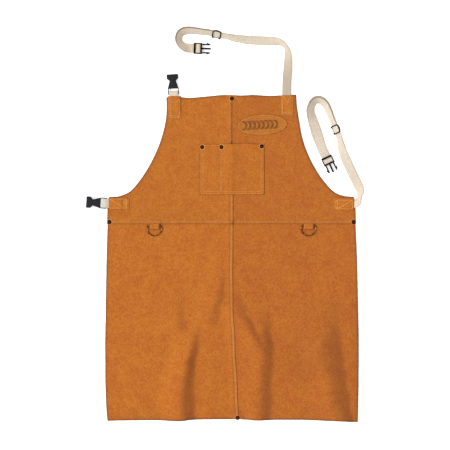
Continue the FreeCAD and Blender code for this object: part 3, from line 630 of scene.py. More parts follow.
def lap_edge(x, y):
    """Room added to the dark rim's distance, which makes the rim lighter, where the cut edge is part
    of a seam. The pocket's right edge and the open stretches of its mouth get none, so their full dark
    rim is painted shade.
    """
    if abs(y + WAIST_LAP) < 0.006 and abs(x) < 0.342:
        return 0.0006
    if abs(x - seam_x(y)) < 0.014 and not 0.21 < y < 0.23:
        return 0.0011 + 0.0012 * ramp(y, -0.15, -0.25) + 0.0006 * ramp(y, 0.10, 0.20)
    on_pocket = abs(x) < 0.088 and 0.07 < y < 0.225
    flat_mouth = x < -0.013 or 0.026 < x < 0.042 or x > 0.070
    sewn = x < -0.08 or y < 0.083 or y > 0.21 and flat_mouth
    return 0.0011 if on_pocket and sewn else 0.0


def area_of(outline):
    """The outline's area, positive where it runs anticlockwise."""
    total = 0.0
    for first, last in zip(outline, outline[1:] + outline[:1]):
        total += first[0] * last[1] - last[0] * first[1]
    return total / 2


def extent(outline):
    """Lowest x, lowest y, width and length."""
    xs = [p[0] for p in outline]
    ys = [p[1] for p in outline]
    return min(xs), min(ys), max(xs) - min(xs), max(ys) - min(ys)


def fray(outline, amount, seed):
    """The outline as it was cut by hand, with a slight waver."""
    result = []
    for x, y in outline:
        shift = Vector((wander(x, y, 0.012, seed), wander(x, y, 0.012, seed + 9)))
        slow = Vector((wander(x, y, 0.07, seed + 3), wander(x, y, 0.07, seed + 5)))
        result.append(Vector((x, y)) + shift * amount * 0.35 + slow * amount)
    return result


ROW = 0.866  # height of a triangle whose sides are 1


def leather_piece(name, outline, bottom, material, spacing=0.0045, skive=0.0, extra=None,
                  handled=0.0):
    """A closed sheet of leather with that outline, on the surface given by bottom(x, y).

    spacing is the size of its triangles. Its edge is pared thin over the distance skive, and
    darkened by handling. extra maps an attribute's name to a function of x and y.
    """
    low_x, low_y, width, length = extent(outline)
    grid = []
    for row in range(int(length / (spacing * ROW)) + 1):
        for column in range(int(width / spacing) + 2):
            grid.append((low_x + (column + 0.5 * (row % 2)) * spacing, low_y + row * spacing * ROW))
    distance, inside = outline_distance(grid, outline)
    kept = [g for g, d, i in zip(grid, distance, inside) if i and d > spacing * 0.55]
    edges = [(i, (i + 1) % len(outline)) for i in range(len(outline))]
    points, _, triangles, *_ = geometry.delaunay_2d_cdt(outline + [Vector(g) for g in kept], edges,
                                                        [], 1, 1e-7)
    count = len(points)
    pairs = dict.fromkeys((a, b) for t in triangles for a, b in zip(t, t[1:] + t[:1]))
    border = [(a, b) for a, b in pairs if (b, a) not in pairs]
    into = {b: a for a, b in border}
    out = dict(border)
    heights = [bottom(*p) for p in points]
    pared = [HIDE] * count
    if skive:
        inset = outline_distance([tuple(p) for p in points], outline)[0]
        pared = [HIDE * mix(0.4, 1.0, ramp(d, 0, skive)) for d in inset]
    vertices = [(*p, z + deep) for p, z, deep in zip(points, heights, pared)]
    vertices += [(*p, z) for p, z in zip(points, heights)]
    # Two more rings of vertices round off the cut edge.
    upper, lower = {}, {}
    for a in out:
        way = (points[out[a]] - points[into[a]]).normalized()
        side = points[a] + Vector((way.y, -way.x)) * (0.28 * pared[a])
        upper[a], lower[a] = len(vertices), len(vertices) + 1
        vertices += [(*side, heights[a] + share * pared[a]) for share in (0.72, 0.22)]
    faces = [tuple(t) for t in triangles]
    faces += [tuple(i + count for i in reversed(t)) for t in triangles]
    for a, b in border:
        faces.append((b, a, upper[a], upper[b]))
        faces.append((upper[b], upper[a], lower[a], lower[b]))
        faces.append((lower[b], lower[a], a + count, b + count))
    piece = add_object(name, vertices, faces, material)
    places = [v[:2] for v in vertices]
    distance = outline_distance(places, outline)[0]
    seams = [lap_edge(*p) for p in places]
    set_attribute(piece, "rim", [float(d) + room for d, room in zip(distance, seams)])
    # One attribute carries painted shade of folds and creases, darker hide, and darker handled edges.
    dark = [shade(*p) for p in places[:count]] * 2 + [0.0] * (len(places) - 2 * count)
    worn = [0.0 if room else handled * ramp(d, 0.0080, 0.0) for d, room in zip(distance, seams)]
    set_attribute(piece, "shade_stain_and_wear", [d + w for d, w in zip(dark, worn)])
    for key, rule in {"seam": lambda x, y: 1.0, **(extra or {})}.items():
        set_attribute(piece, key, [rule(*p) for p in places])
    return piece


def declare_leather(piece, outline, node):
    width, length = extent(outline)[2:]
    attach(piece, "apron")
    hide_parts(node)
    min(abs(area_of(outline)), width * length)


BIB_TOP = [(-0.1830, 0.3505), (-0.145, 0.3515), (-0.117, 0.3500), (-0.060, 0.3540), (-0.030, 0.3570),
           (0.000, 0.3575), (0.030, 0.3565), (0.059, 0.3578), (0.108, 0.3548), (0.137, 0.3565),
           (0.1815, 0.3590)]
BIB_SIDE = [(0.1815, 0.3590), (0.1840, 0.325), (0.1900, 0.285), (0.1985, 0.240), (0.2120, 0.198),
            (0.2290, 0.162), (0.2520, 0.125), (0.2780, 0.0935), (0.2980, 0.0790), (0.3200, 0.0725)]
BIB_SIDE_LEFT = [(-0.1830, 0.3505), (-0.1825, 0.325), (-0.1855, 0.285), (-0.1970, 0.236),
                 (-0.2115, 0.198), (-0.2290, 0.162), (-0.2520, 0.125), (-0.2780, 0.0925),
                 (-0.2980, 0.0785), (-0.3200, 0.0715)]


def bib_outline(side):
    if side > 0:
        inner = -LAP_UNDER
        edge = catmull(BIB_SIDE)[::-1]
        top = [p for p in catmull(BIB_TOP)[::-1] if p.x > inner + 0.002]
    else:
        inner = LAP_AT_TOP
        edge = catmull(BIB_SIDE_LEFT)[::-1]
        top = [p for p in catmull(BIB_TOP) if p.x < inner - 0.002]
    top.append(Vector((inner, BIB_CENTRE_Y)))
    heights = np.linspace(BIB_CENTRE_Y, -WAIST_LAP, 60)
    lap = [(inner if side > 0 else lap_over(y), y) for y in heights]
    corners = [(0.3500 * side, -WAIST_LAP), (0.3495 * side, 0.046), (0.3440 * side, 0.0705)]
    hem = resample([lap[-1], corners[0]])
    rise = resample(corners[:2])
    shoulder = resample([corners[1], (0.3470 * side, 0.064), corners[2]])
    ledge = resample([corners[2], (0.3200 * side, edge[0].y)])
    outline = chain(hem, rise, shoulder, ledge, edge, top, resample(lap))
    return outline if side > 0 else outline[::-1]


SKIRT_SIDE_RIGHT = [(0.3490, WAIST_LAP), (0.3515, -0.060), (0.3540, -0.140), (0.3560, -0.220),
                    (0.3575, -0.300), (0.3580, -0.390), (0.3570, -0.480), (0.3555, -0.5635)]
SKIRT_SIDE_LEFT = [(-0.3490, WAIST_LAP), (-0.3505, -0.060), (-0.3525, -0.150), (-0.3540, -0.250),
                   (-0.3555, -0.350), (-0.3550, -0.450), (-0.3520, -0.520), (-0.3490, -0.5600)]
HEM_RIGHT = [(0.012, -0.5560), (0.080, -0.5575), (0.160, -0.5570), (0.240, -0.5585), (0.300, -0.5600),
             (0.330, -0.5625), (0.3555, -0.5635)]
HEM_LEFT = [(-0.3490, -0.5600), (-0.300, -0.5590), (-0.220, -0.5580), (-0.150, -0.5590),
            (-0.110, -0.5565), (-0.050, -0.5560)]


def seam_line(offset, top, bottom):
    heights = [mix(top, bottom, number / 60) for number in range(61)]
    return resample([(seam_x(y) + offset, y) for y in heights])


def skirt_outline(side):
    if side > 0:
        inner = seam_line(-LAP_UNDER, WAIST_LAP, HEM_Y)
        hem = catmull([(seam_x(HEM_Y) - LAP_UNDER, HEM_Y)] + HEM_RIGHT)
        edge = catmull(SKIRT_SIDE_RIGHT)[::-1]
        top = resample([SKIRT_SIDE_RIGHT[0], (-LAP_UNDER, WAIST_LAP)])
        return chain(inner, hem, edge, top)
    inner = seam_line(LAP_OVER, HEM_Y, WAIST_LAP)
    hem = catmull(HEM_LEFT + [(seam_x(HEM_Y) + LAP_OVER, HEM_Y)])
    edge = catmull(SKIRT_SIDE_LEFT)
    top = resample([(LAP_OVER, WAIST_LAP), SKIRT_SIDE_LEFT[0]])
    return chain(edge, hem, inner, top)


def make_panels():
    jobs = [
        ("leather_skirt_right", skirt_outline(1), lie, suede_skirt_right, "skirt_right"),
        ("leather_skirt_left", skirt_outline(-1), skirt_left_bottom, suede_skirt_left, "skirt_left"),
        ("leather_bib_right", bib_outline(1), bib_right_bottom, suede_right, "bib_right"),
        ("leather_bib_left", bib_outline(-1), bib_left_bottom, suede_left, "bib_left"),
    ]
    for seed, (name, outline, bottom, material, node) in enumerate(jobs, start=20):
        outline = fray(outline, 0.0007, seed)
        piece = leather_piece(name, outline, bottom, material, extra={"seam": seam_offset},
                              handled=1.2)
        declare_leather(piece, outline, node)


# ------------------------------------------------------------------ pocket, badge and tabs

POCKET_LEFT, POCKET_RIGHT = -0.0885, 0.0920
POCKET_BOTTOM, POCKET_TOP = 0.0780, 0.2200
DIVIDER = -0.0285


def pocket_bottom(x, y):
    """The pocket lies on the bib, over the centre lap, and stands open at its mouth."""
    ridge = ramp(x, -0.022, -0.0110) * ramp(x, 0.0125, 0.0010)
    height = lie(x, y) + (HIDE + SKIN) * (1 + ridge)
    for low, high, room in ((POCKET_LEFT + 0.008, DIVIDER - 0.005, 0.0016),
                            (DIVIDER + 0.005, POCKET_RIGHT - 0.008, 0.0030)):
        if low < x < high:
            share = (x - low) / (high - low)
            body = math.sin(math.pi * share) ** 0.6
            mouth = ramp(y, POCKET_BOTTOM + 0.012, POCKET_TOP)
            gape = 0.55 + 0.45 * math.sin(share * 9.0 + 0.4)
            height += room * body * (0.18 + 0.82 * mouth * gape)
    return height


def pocket_top(x, y):
    return pocket_bottom(x, y) + HIDE


def make_pocket():
    mouth = catmull([(POCKET_RIGHT, 0.2190), (0.062, 0.2200), (0.030, 0.2210), (0.004, 0.2200),
                     (-0.020, 0.2195), (-0.055, 0.2185), (POCKET_LEFT, 0.2180)], 0.003)
    corners = [(POCKET_LEFT, 0.2180), (POCKET_LEFT, POCKET_BOTTOM), (POCKET_RIGHT, POCKET_BOTTOM),
               (POCKET_RIGHT, 0.2190)]
    left, bottom, right = (resample(ends, 0.003) for ends in zip(corners, corners[1:]))
    outline = fray(chain(right, mouth, left, bottom), 0.0005, 31)
    piece = leather_piece("leather_pocket", outline, pocket_bottom, suede_pocket, 0.0032)
    declare_leather(piece, outline, "chest_pocket")


BADGE_X, BADGE_Y = 0.087, 0.274
BADGE_HALF = (0.070, 0.029)
BADGE_COS, BADGE_SIN = math.cos(math.radians(3)), math.sin(math.radians(3))


def badge_oval(inset, count):
    """Points on the badge's outline, or on a smaller oval inside it."""
    oval = []
    for number in range(count):
        angle = 2 * math.pi * number / count
        u, v = (BADGE_HALF[0] - inset) * math.cos(angle), (BADGE_HALF[1] - inset) * math.sin(angle)
        oval.append(Vector((BADGE_X + u * BADGE_COS - v * BADGE_SIN,
                            BADGE_Y + u * BADGE_SIN + v * BADGE_COS)))
    return oval


def badge_local(x, y):
    dx, dy = x - BADGE_X, y - BADGE_Y
    return dx * BADGE_COS + dy * BADGE_SIN, dy * BADGE_COS - dx * BADGE_SIN


def brand_mark(x, y):
    """A burnt-in row of weld-bead ripples: thick crescents, one behind the other."""
    u, v = badge_local(x, y)
    mark = 0.0
    for number in range(8):
        centre = -0.0585 + number * 0.0125
        radius = math.hypot(u - centre, v)
        if u > centre + 0.001 and radius < 0.019:
            mark = max(mark, ramp(abs(radius - 0.0130), 0.0042, 0.0024))
    worn = 0.85 + 0.30 * wander(x, y, 0.007, 4)
    return min(1.0, mark * worn) * ramp(abs(v), 0.0138, 0.0118)


def badge_bottom(x, y):
    return lie(x, y) + HIDE + SKIN


def make_badge():
    outline = fray(badge_oval(0, 120), 0.0004, 33)
    piece = leather_piece("leather_badge", outline, badge_bottom, badge_leather, 0.0013,
                          extra={"brand": brand_mark})
    for vertex in piece.data.vertices:
        if vertex.co.z > badge_bottom(vertex.co.x, vertex.co.y) + HIDE * 0.9:
            vertex.co.z -= 0.0004 * brand_mark(vertex.co.x, vertex.co.y)
    declare_leather(piece, outline, "oval_badge")


class Tab:
    """A leather patch over the end of a strap; u runs inwards from its outer end."""

    def __init__(self, name, node, x, y, way, width, length, layers, seams):
        self.name, self.node, self.seams = name, node, seams
        self.origin = Vector((x, y))
        self.way = Vector(way)
        self.side = Vector((-way[1], way[0]))
        self.width, self.length, self.layers = width, length, layers

    def place(self, u, v):
        return self.origin + self.way * u + self.side * v

    def local(self, x, y):
        offset = Vector((x, y)) - self.origin
        return offset.dot(self.way), offset.dot(self.side)

    def bottom(self, x, y):
        u, v = self.local(x, y)
        hump = (WEB * self.layers + 0.0003) * ramp(abs(v), self.width / 2 - 0.0012, 0.0132)
        hump *= ramp(u, 0.046, 0.034)
        return lie(x, y) + HIDE + SKIN + hump

    def top(self, x, y):
        return self.bottom(x, y) + HIDE

    def outline(self):
        half, length = self.width / 2, self.length
        corners = [self.place(*c) for c in ((0, -half), (length, -half), (length, half), (0, half))]
        sides = zip(corners, corners[1:] + corners[:1])
        outline = chain(*(resample(ends, 0.0028) for ends in sides))
        return outline if area_of(outline) > 0 else outline[::-1]


def box_seam(near, far, low, high):
    """A stitched box, open at its outer end, with a second row across its inner end."""
    return [[(near, low), (far, low), (far, high), (near, high)],
            [(far - 0.0042, low + 0.002), (far - 0.0042, high - 0.002)]]


TABS = [
    Tab("leather_tab_neck_left", "neck_tab_left", -0.161, 0.3545, (0.0, -1.0), 0.0375, 0.064, 2,
        box_seam(0.0095, 0.0600, -0.0112, 0.0150)
        + [[(0.0105, -0.0100), (0.0170, -0.0060), (0.0185, 0.0050), (0.0100, 0.0135)]]),
    Tab("leather_tab_neck_right", "neck_tab_right", 0.157, 0.3570, (0.0, -1.0), 0.0375, 0.057, 1,
        box_seam(0.0040, 0.0525, -0.0135, 0.0160)
        + [[(0.0040, -0.0110), (0.0220, 0.0005), (0.0035, 0.0100)]]),
    Tab("leather_tab_waist_left", "waist_tab_left", -0.3455, 0.051, (1.0, 0.0), 0.0335, 0.058, 2,
        box_seam(0.0035, 0.0500, -0.0120, 0.0135)
        + [[(0.0045, 0.0130), (0.0250, 0.0000), (0.0420, -0.0110)],
           [(0.0425, -0.0110), (0.0425, 0.0125)]]),
    Tab("leather_tab_waist_right", "waist_tab_right", 0.3455, 0.051, (-1.0, 0.0), 0.0335, 0.058, 1,
        box_seam(0.0045, 0.0510, -0.0105, 0.0142)
        + [[(0.0050, -0.0095), (0.0050, 0.0135)], [(0.0070, -0.0090), (0.0440, 0.0130)]]),
]


def make_tabs():
    for seed, tab in enumerate(TABS, start=40):
        outline = fray(tab.outline(), 0.0004, seed)
        piece = leather_piece(tab.name, outline, tab.bottom, suede_tab, 0.0026, 0.006)
        declare_leather(piece, outline, tab.node)


# ------------------------------------------------------------------ stitching

def stitch_row(parts, path, top, pitch=0.0042, length=0.0032, width=0.00050, seed=0):
    """Adds one stitch after another along a 2-D path, each dipping in at its ends."""
    dice = random.Random(seed)
    points = resample([(p[0], p[1], 0) for p in path], pitch)
    vertices, faces = parts
    rings = ((-1.0, 0.25, -0.9), (-0.72, 0.85, -0.15), (0.0, 1.0, 0.15), (0.72, 0.85, -0.15),
             (1.0, 0.25, -0.9))
    sides = 6
    for first, last in zip(points, points[1:]):
        way = (last - first).normalized()
        centre = (first + last) / 2
        side = Vector((-way.y, way.x, 0))
        centre = centre + side * dice.uniform(-0.00012, 0.00012)
        start = len(vertices)
        for place, girth, lift in rings:
            middle = centre + way * (place * length / 2)
            z = top(middle.x, middle.y)
            for number in range(sides):
                angle = 2 * math.pi * number / sides
                across = side * (math.cos(angle) * width * girth)
                up = math.sin(angle) * width * 0.62 * girth + lift * width * 0.6 + width * 0.25
                vertices.append(Vector((middle.x + across.x, middle.y + across.y, z + up)))
        faces += tube_faces(start, len(rings), sides)


def finish_stitches(name, parts, material):
    piece = add_object(name, *parts, material)
    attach(piece, "apron")


def make_seam_stitches():
    parts = ([], [])
    for offset, seed in ((0.0017, 1), (-0.0013, 2)):
        skirt = [(seam_x(y) + offset, y) for y in np.linspace(-0.008, -0.545, 80)]
        stitch_row(parts, skirt, skirt_top, width=0.0006, seed=seed)
        stitch_row(parts, [(offset, 0.004), (offset, 0.0765)], bib_top, width=0.0006, seed=seed + 2)
        above = offset - 0.0045
        stitch_row(parts, [(above, 0.2215), (above, 0.342)], bib_top, width=0.0004, seed=seed + 4)
    for offset, width, seed in ((-0.0026, 0.00028, 11), (0.0016, 0.00032, 12)):
        left = [(-0.348, offset), (LAP_OVER - 0.001, offset)]
        right = [(LAP_OVER + 0.001, offset), (0.348, offset)]
        stitch_row(parts, left, bib_top, width=width, seed=seed)
        stitch_row(parts, right, bib_top, width=width, seed=seed + 2)
    finish_stitches("stitches_seams", parts, seam_thread)


def make_pocket_stitches():
    parts = ([], [])
    for inset, seed in ((0.0024, 21), (0.0078, 22)):
        low = POCKET_BOTTOM + inset
        left, right = POCKET_LEFT + inset, POCKET_RIGHT - inset
        path = [(left, 0.2130), (left, low), (right, low), (right, 0.2130)]
        stitch_row(parts, resample(path, 0.003), pocket_top, width=0.00056, seed=seed)
    # This row across the left compartment's mouth also stands in for the highlight along the mouth's
    # folded edge.
    stitch_row(parts, [(-0.0765, 0.2150), (-0.0345, 0.2152)], pocket_top, seed=25)
    for offset, seed in ((-0.0016, 23), (0.0016, 24)):
        path = [(DIVIDER + offset, 0.2040), (DIVIDER + offset, POCKET_BOTTOM + 0.0095)]
        stitch_row(parts, path, pocket_top, seed=seed)
    finish_stitches("stitches_pocket", parts, seam_thread)


def make_badge_stitches():
    parts = ([], [])
    path = badge_oval(0.0028, 160)
    stitch_row(parts, path + path[:1], lambda x, y: badge_bottom(x, y) + HIDE, 0.0038, 0.0029, seed=25)
    finish_stitches("stitches_badge", parts, seam_thread)


def make_tab_stitches(name, tabs, width, material, seed):
    parts = ([], [])
    for first_seed, tab in enumerate(tabs, start=seed):
        for number, seam in enumerate(tab.seams):
            path = resample([tab.place(u, v) for u, v in seam], 0.002)
            stitch_row(parts, path, tab.top, 0.0040, 0.0031, width, first_seed + 10 * number)
    finish_stitches(name, parts, material)


# ------------------------------------------------------------------ rivets, rings and their loops

def rivet_seat(x, y):
    """Height of the leather under a rivet's cap."""
    if (x, y) in POCKET_RIVETS:
        return pocket_top(x, y)
    left = x - 0.004
    return skirt_top(left, y) if (x, y) == HEM_RIVET else bib_top(left, y)


RIVET_SIDES = 28


def lathe(vertices, faces, profile, x, y):
    """Adds a profile of (radius, height) turned about an upright axis."""
    start = len(vertices)
    for radius, height in profile:
        for number in range(RIVET_SIDES):
            angle = 2 * math.pi * number / RIVET_SIDES
            vertices.append(Vector((x + radius * math.cos(angle), y + radius * math.sin(angle),
                                    height)))
    faces += tube_faces(start, len(profile), RIVET_SIDES)


def make_rivets():
    vertices, faces, wear_and_highlight = [], [], []
    front = [(0.0050, -0.0012), (0.0058, 0.00025), (0.0058, 0.00060), (0.0055, 0.00085),
             (0.0050, 0.00100), (0.0045, 0.00135), (0.0035, 0.00180), (0.0023, 0.00205),
             (0.0012, 0.00210), (0.0008, 0.00195), (0.0002, 0.00185)]
    # How far each ring of the cap shows bare metal: mostly at the crown, where it is also a painted
    # highlight, and a little near the rim.
    worn = [0, 0, 0.05, 0.15, 0.05, 0, 0.1, 0.35, 0.7, 0.8, 0.9]
    back = [(0.0002, -0.00002), (0.0034, 0.0), (0.0039, 0.0002), (0.0039, 0.0006), (0.0015, 0.0007)]
    for x, y in RIVETS:
        seat = rivet_seat(x, y) - SKIN
        lathe(vertices, faces, [(r, seat + h) for r, h in front], x, y)
        lathe(vertices, faces, [(r, h + 0.00005) for r, h in back], x, y)
        for share in worn + [0.6] * len(back):
            wear_and_highlight += [share] * RIVET_SIDES
    piece = add_object("rivets", vertices, faces, rivet_metal)
    set_attribute(piece, "wear_and_highlight", wear_and_highlight)
    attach(piece, "apron")
    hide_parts("rivet_caps", "rivet_posts")


def strip_section(half_width, half_thick, corner=0.0004, steps=6):
    """A flat strip's cross-section with eased corners, as (across, normal) pairs."""
    row = [mix(-half_width + corner, half_width - corner, i / steps) for i in range(steps + 1)]
    ring = [(v, half_thick) for v in row]
    ring += [(half_width, half_thick - corner), (half_width, -half_thick + corner)]
    ring += [(v, -half_thick) for v in row[::-1]]
    ring += [(-half_width, -half_thick + corner), (-half_width, half_thick - corner)]
    return ring


def nowhere(distance):
    return 0.0


def sweep(name, strands, material, half_width, half_thick, soil_and_shade=nowhere, turned=nowhere):
    """One mesh of strips; each strand is a list of (centre, across, normal, length so far)."""
    section = strip_section(half_width, half_thick)
    size = len(section)
    vertices, faces, strap_uv = [], [], []
    for strand in strands:
        start = len(vertices)
        for centre, across, normal, distance in strand:
            for v, w in section:
                vertices.append(centre + across * v + normal * w)
                strap_uv.append(((v + half_width) * 1000, distance * 1000))
        faces += [face[::-1] for face in tube_faces(start, len(strand), size)]
    piece = add_object(name, vertices, faces, material)
    # Painted shade along the strap, and painted shade on one edge where the strap is turned.
    set_attribute(piece, "strap_shade", [soil_and_shade(uv[1] / 1000) for uv in strap_uv])
    set_attribute(piece, "turned", [turned(uv[1] / 1000) for uv in strap_uv])
    layer = piece.data.uv_layers.new(name="strap")
    for loop in piece.data.loops:
        layer.data[loop.index].uv = strap_uv[loop.vertex_index]
    return piece


def strip_frames(path, across):
    """Frames for a strip that runs along a path in one plane, with a fixed across direction."""
    points = resample(path, 0.0015)
    frames = []
    distance = 0.0
    for index, point in enumerate(points):
        before = points[max(0, index - 1)]
        after = points[min(len(points) - 1, index + 1)]
        way = (after - before).normalized()
        if index:
            distance += (point - points[index - 1]).length
        frames.append((point, across, way.cross(across).normalized(), distance))
    return frames


def frames_length(frames):
    return frames[-1][3]


def heading(degrees):
    return Vector((math.cos(math.radians(degrees)), math.sin(math.radians(degrees)), 0))


class Spot:
    """A place on the floor, with the direction that a strip runs from it."""

    def __init__(self, x, y, turn):
        self.origin = Vector((x, y, 0))
        self.way = heading(turn)
        self.side = Vector((-self.way.y, self.way.x, 0))

    def line(self, *places):
        """Points that many metres along the strip and above the floor."""
        return [self.origin + self.way * u + UP * z for u, z in places]

    def arc(self, u, z, radius, start, end, steps):
        """Points on an arc about u, z, from one angle in degrees to another."""
        centre = self.line((u, z))[0]
        points = []
        for number in range(steps + 1):
            angle = math.radians(mix(start, end, number / steps))
            points.append(centre + self.way * (radius * math.cos(angle))
                          + UP * (radius * math.sin(angle)))
        return points


def declare_strip(node):
    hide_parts(node)


def make_ring_loops():
    """A strip of leather folded round each D-ring's bar and sewn under the bib."""
    half_width, half = 0.0133, 0.00055
    low, bar = HIDE + 0.0002 + half, 0.0046
    high = HIDE + 0.0002 + 3 * half
    for side, x in (("left", -RING_X), ("right", RING_X)):
        spot = Spot(x, 0.0, -90)
        points = spot.line((-0.004, low), (0.006, low), (0.012, low), (0.0185, low))
        points += spot.arc(0.0185, bar, bar - low, -90, 90, 10)[1:]
        points += spot.line((0.0120, 2 * bar - low), (0.0092, 2 * bar - low), (0.0066, 0.0057),
                            (0.0040, 0.0038), (0.0, high), (-0.004, high))
        frames = strip_frames(catmull(points, 0.0012), spot.side)
        piece = sweep("leather_loop_" + side, [frames], suede_tab, half_width, half)
        places = [vertex.co for vertex in piece.data.vertices]
        set_attribute(piece, "rim", [max(0.0, half_width - abs(p.x - x)) for p in places])
        # Painted shade on the fold round the ring's bar.
        set_attribute(piece, "shade_stain_and_wear", [1.4 * ramp(p.y, -0.0190, -0.0208) for p in places])
        set_attribute(piece, "seam", [1.0] * len(places))
        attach(piece, "apron")
        declare_strip("ring_loop_" + side)


def dress_rings():
    for node in ("d_ring_left", "d_ring_right"):
        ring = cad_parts[node]
        ring.data.materials.clear()
        ring.data.materials.append(ring_metal)
        ring.data.shade_smooth()


# ------------------------------------------------------------------ straps

def strap_frames(stations, step=0.0025):
    """Frames along a strap through stations of (x, y, tilt, lift), in mm and degrees."""
    places = [Vector((s[0] / 1000, s[1] / 1000, 0)) for s in stations]
    knots = [0.0]
    for first, last in zip(places, places[1:]):
        knots.append(knots[-1] + (last - first).length)
    line = catmull(places, step)
    frames = []
    distance = 0.0
    index = 0
    for number, point in enumerate(line):
        before = line[max(0, number - 1)]
        after = line[min(len(line) - 1, number + 1)]
        way = (after - before).normalized()
        if number:
            distance += (point - line[number - 1]).length
        while index < len(places) - 2 and (point - places[index + 1]).dot(
                places[index + 2] - places[index]) > 0:
            index += 1
        first, last = stations[index], stations[index + 1]
        run = places[index + 1] - places[index]
        share = ramp((point - places[index]).dot(run) / run.length_squared, 0, 1)
        tilt = math.radians(mix(first[2], last[2], share))
        lift = mix(first[3], last[3], share) / 1000
        left = Vector((-way.y, way.x, 0))
        across = left * -math.cos(tilt) + Vector((0, 0, math.sin(tilt)))
        normal = left * math.sin(tilt) + Vector((0, 0, math.cos(tilt)))
        height = WEB_WIDTH / 2 * math.sin(tilt) + WEB / 2 * math.cos(tilt) + lift
        frames.append((Vector((point.x, point.y, height)), across, normal, distance))
    return frames


def shifted(frames, rise, slide):
    """Frames moved along their normal by rise(distance) and across by slide(distance)."""
    return [(centre + normal * rise(distance) + across * slide(distance), across, normal, distance)
            for centre, across, normal, distance in frames]


def on_floor(frames):
    """Lifts any frame whose lower edge would be under the floor."""
    result = []
    for centre, across, normal, distance in frames:
        low = centre.z - WEB_WIDTH / 2 * abs(across.z) - WEB / 2 * abs(normal.z)
        result.append((centre + UP * max(0.0, 0.00005 - low), across, normal, distance))
    return result


def length_to(frames, x, y):
    """Distance along the strap to its nearest place to x, y in mm."""
    target = Vector((x / 1000, y / 1000))
    return min(frames, key=lambda f: (Vector((f[0].x, f[0].y)) - target).length)[3]


NECK_PLUG = (-0.1063, 0.4895, -2.0)
WAIST_PLUG = (0.2665, 0.1836, -64.3)
# Stations of the long straps, from inside the tab to the plug: x and y in mm, tilt in degrees,
# and lift in mm.
NECK_ROUTE = [
    (155.5, 322, 0, 1.7), (155.5, 338, 0, 1.7), (155.5, 354, 0, 1.7), (155.6, 366, 0, 0.4),
    (156.5, 400, 0, 0), (159.2, 446, 28, 0), (158.5, 474, 46, 0), (152.5, 492, 70, 0),
    (140.5, 503.5, 60, 0), (125, 508, 36, 0), (94.5, 510, 22, 0), (52, 512, 28, 0),
    (14, 516, 45, 1.5), (-15.5, 521.5, 60, 4.4), (-18.25, 522.07, 60, 4.4),
    (-41.75, 526.95, 60, 4.4), (-65.25, 531.83, 60, 4.4), (-68, 532.4, 60, 4.4),
    (-97, 538, 55, 0), (-123, 540, 50, 0), (-141, 534.5, 50, 0), (-149.5, 520, 50, 0),
    (-146.4, 504, 46, 0), (-134, 492.2, 34, 0), (-124.5, 490.14, 9, 0), (-118.29, 489.92, 0, 0),
]
WAIST_ROUTE = [
    (315, 52.5, 0, 1.7), (331, 52.5, 0, 1.7), (347, 52.5, 2, 1.7), (353, 54.7, 35, 0.4),
    (357, 60.8, 56, 0), (359.9, 72, 66, 0), (362.5, 86, 42, 0), (357.6, 101, 16, 0),
    (345.5, 127, 6, 0), (326, 168, 12, 0), (312, 202, 36, 0), (303.4, 236, 60, 4.4),
    (302.56, 238.07, 60, 4.4), (293.5, 260.3, 60, 4.4), (284.44, 282.53, 60, 4.4),
    (283.6, 284.6, 60, 4.4), (275.5, 311, 56, 0), (264.5, 332.5, 52, 0),
    (250.5, 344, 52, 0), (236, 343.5, 52, 0), (225, 331, 50, 0), (221.5, 310, 38, 0),
    (230.5, 279, 14, 0), (246, 232.5, 2, 0), (256.1, 205.2, 0, 0), (261.30, 194.41, 0, 0),
]


# Painted shade on the neck strap's first 0.1 m from its tab, fading out by 0.2 m.
def neck_painted_shade(distance):
    return ramp(distance, 0.20, 0.10)


def neck_edge_shade(distance):
    """How far the neck strap shows its shaded edge, at a distance along it."""
    return ramp(distance, 0.375, 0.400) * ramp(distance, 0.520, 0.490)


def waist_edge_shade(distance):
    return 0.8 * ramp(distance, 0.270, 0.300) * ramp(distance, 0.400, 0.370)


def make_long_strap(name, route, slider, material, nodes, fan, soil_and_shade, turned):
    """The strap's run with its sewn end, and the second layer back from the buckle.

    slider is the adjuster's place in mm, fan how far the two layers part sideways, and the last two
    map a distance to how much painted shade darkens the strap's face and its edge.
    """
    base = strap_frames(route)
    total = frames_length(base)
    middle = length_to(base, *slider)
    start = middle + 0.0235
    settle = middle + 0.0450

    def upper_rise(distance):
        return (WEB + 0.00025) * ramp(distance, start, settle)

    def lower_rise(distance):
        return -(WEB + 0.00015) * ramp(distance, settle, start)

    def fan_out(distance):
        span = ramp(distance, settle, settle + 0.05) * ramp(distance, total - 0.006, total - 0.055)
        return fan * span * (0.75 + 0.25 * math.sin(distance * 70))

    upper = shifted(base, upper_rise, lambda d: -fan_out(d) / 2)
    lower = shifted([f for f in base if f[3] > middle + 0.0125], lower_rise,
                    lambda d: fan_out(d) / 2)
    piece = sweep(name, [on_floor(upper), on_floor(lower)], material, WEB_WIDTH / 2, WEB / 2,
                  soil_and_shade, turned)
    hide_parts(*nodes)
    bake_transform(piece)


def make_plug_web(name, plug, material, node):
    """The webbing's fold round a plug's middle bar, and back under the end bar."""
    spot = Spot(*plug)
    bar = 0.0037
    radius = bar - WEB / 2 - 0.00005
    low = WEB / 2 + 0.00005
    high = low + WEB + 0.00025
    points = spot.line((-0.0125, low), (-0.006, low), (0.0, low), (0.006, low), (0.0118, low),
                       (0.0148, low))
    points += spot.arc(0.0152, bar, radius, -80, 100, 14)
    points += spot.line((0.0118, bar + radius - 0.0002), (0.0096, bar + radius - 0.0012),
                        (0.0068, high + 0.0010), (0.0035, high + 0.0001), (0.0, high),
                        (-0.006, high), (-0.0125, high))
    frames = strip_frames(resample(points, 0.001), spot.side * -1)
    piece = sweep(name, [frames], material, WEB_WIDTH / 2, WEB / 2)
    declare_strip(node)
    start, end = spot.line((-0.007, 0.002), (0.001, 0.002))
    tuple(start)
    tuple(end)
    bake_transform(piece)


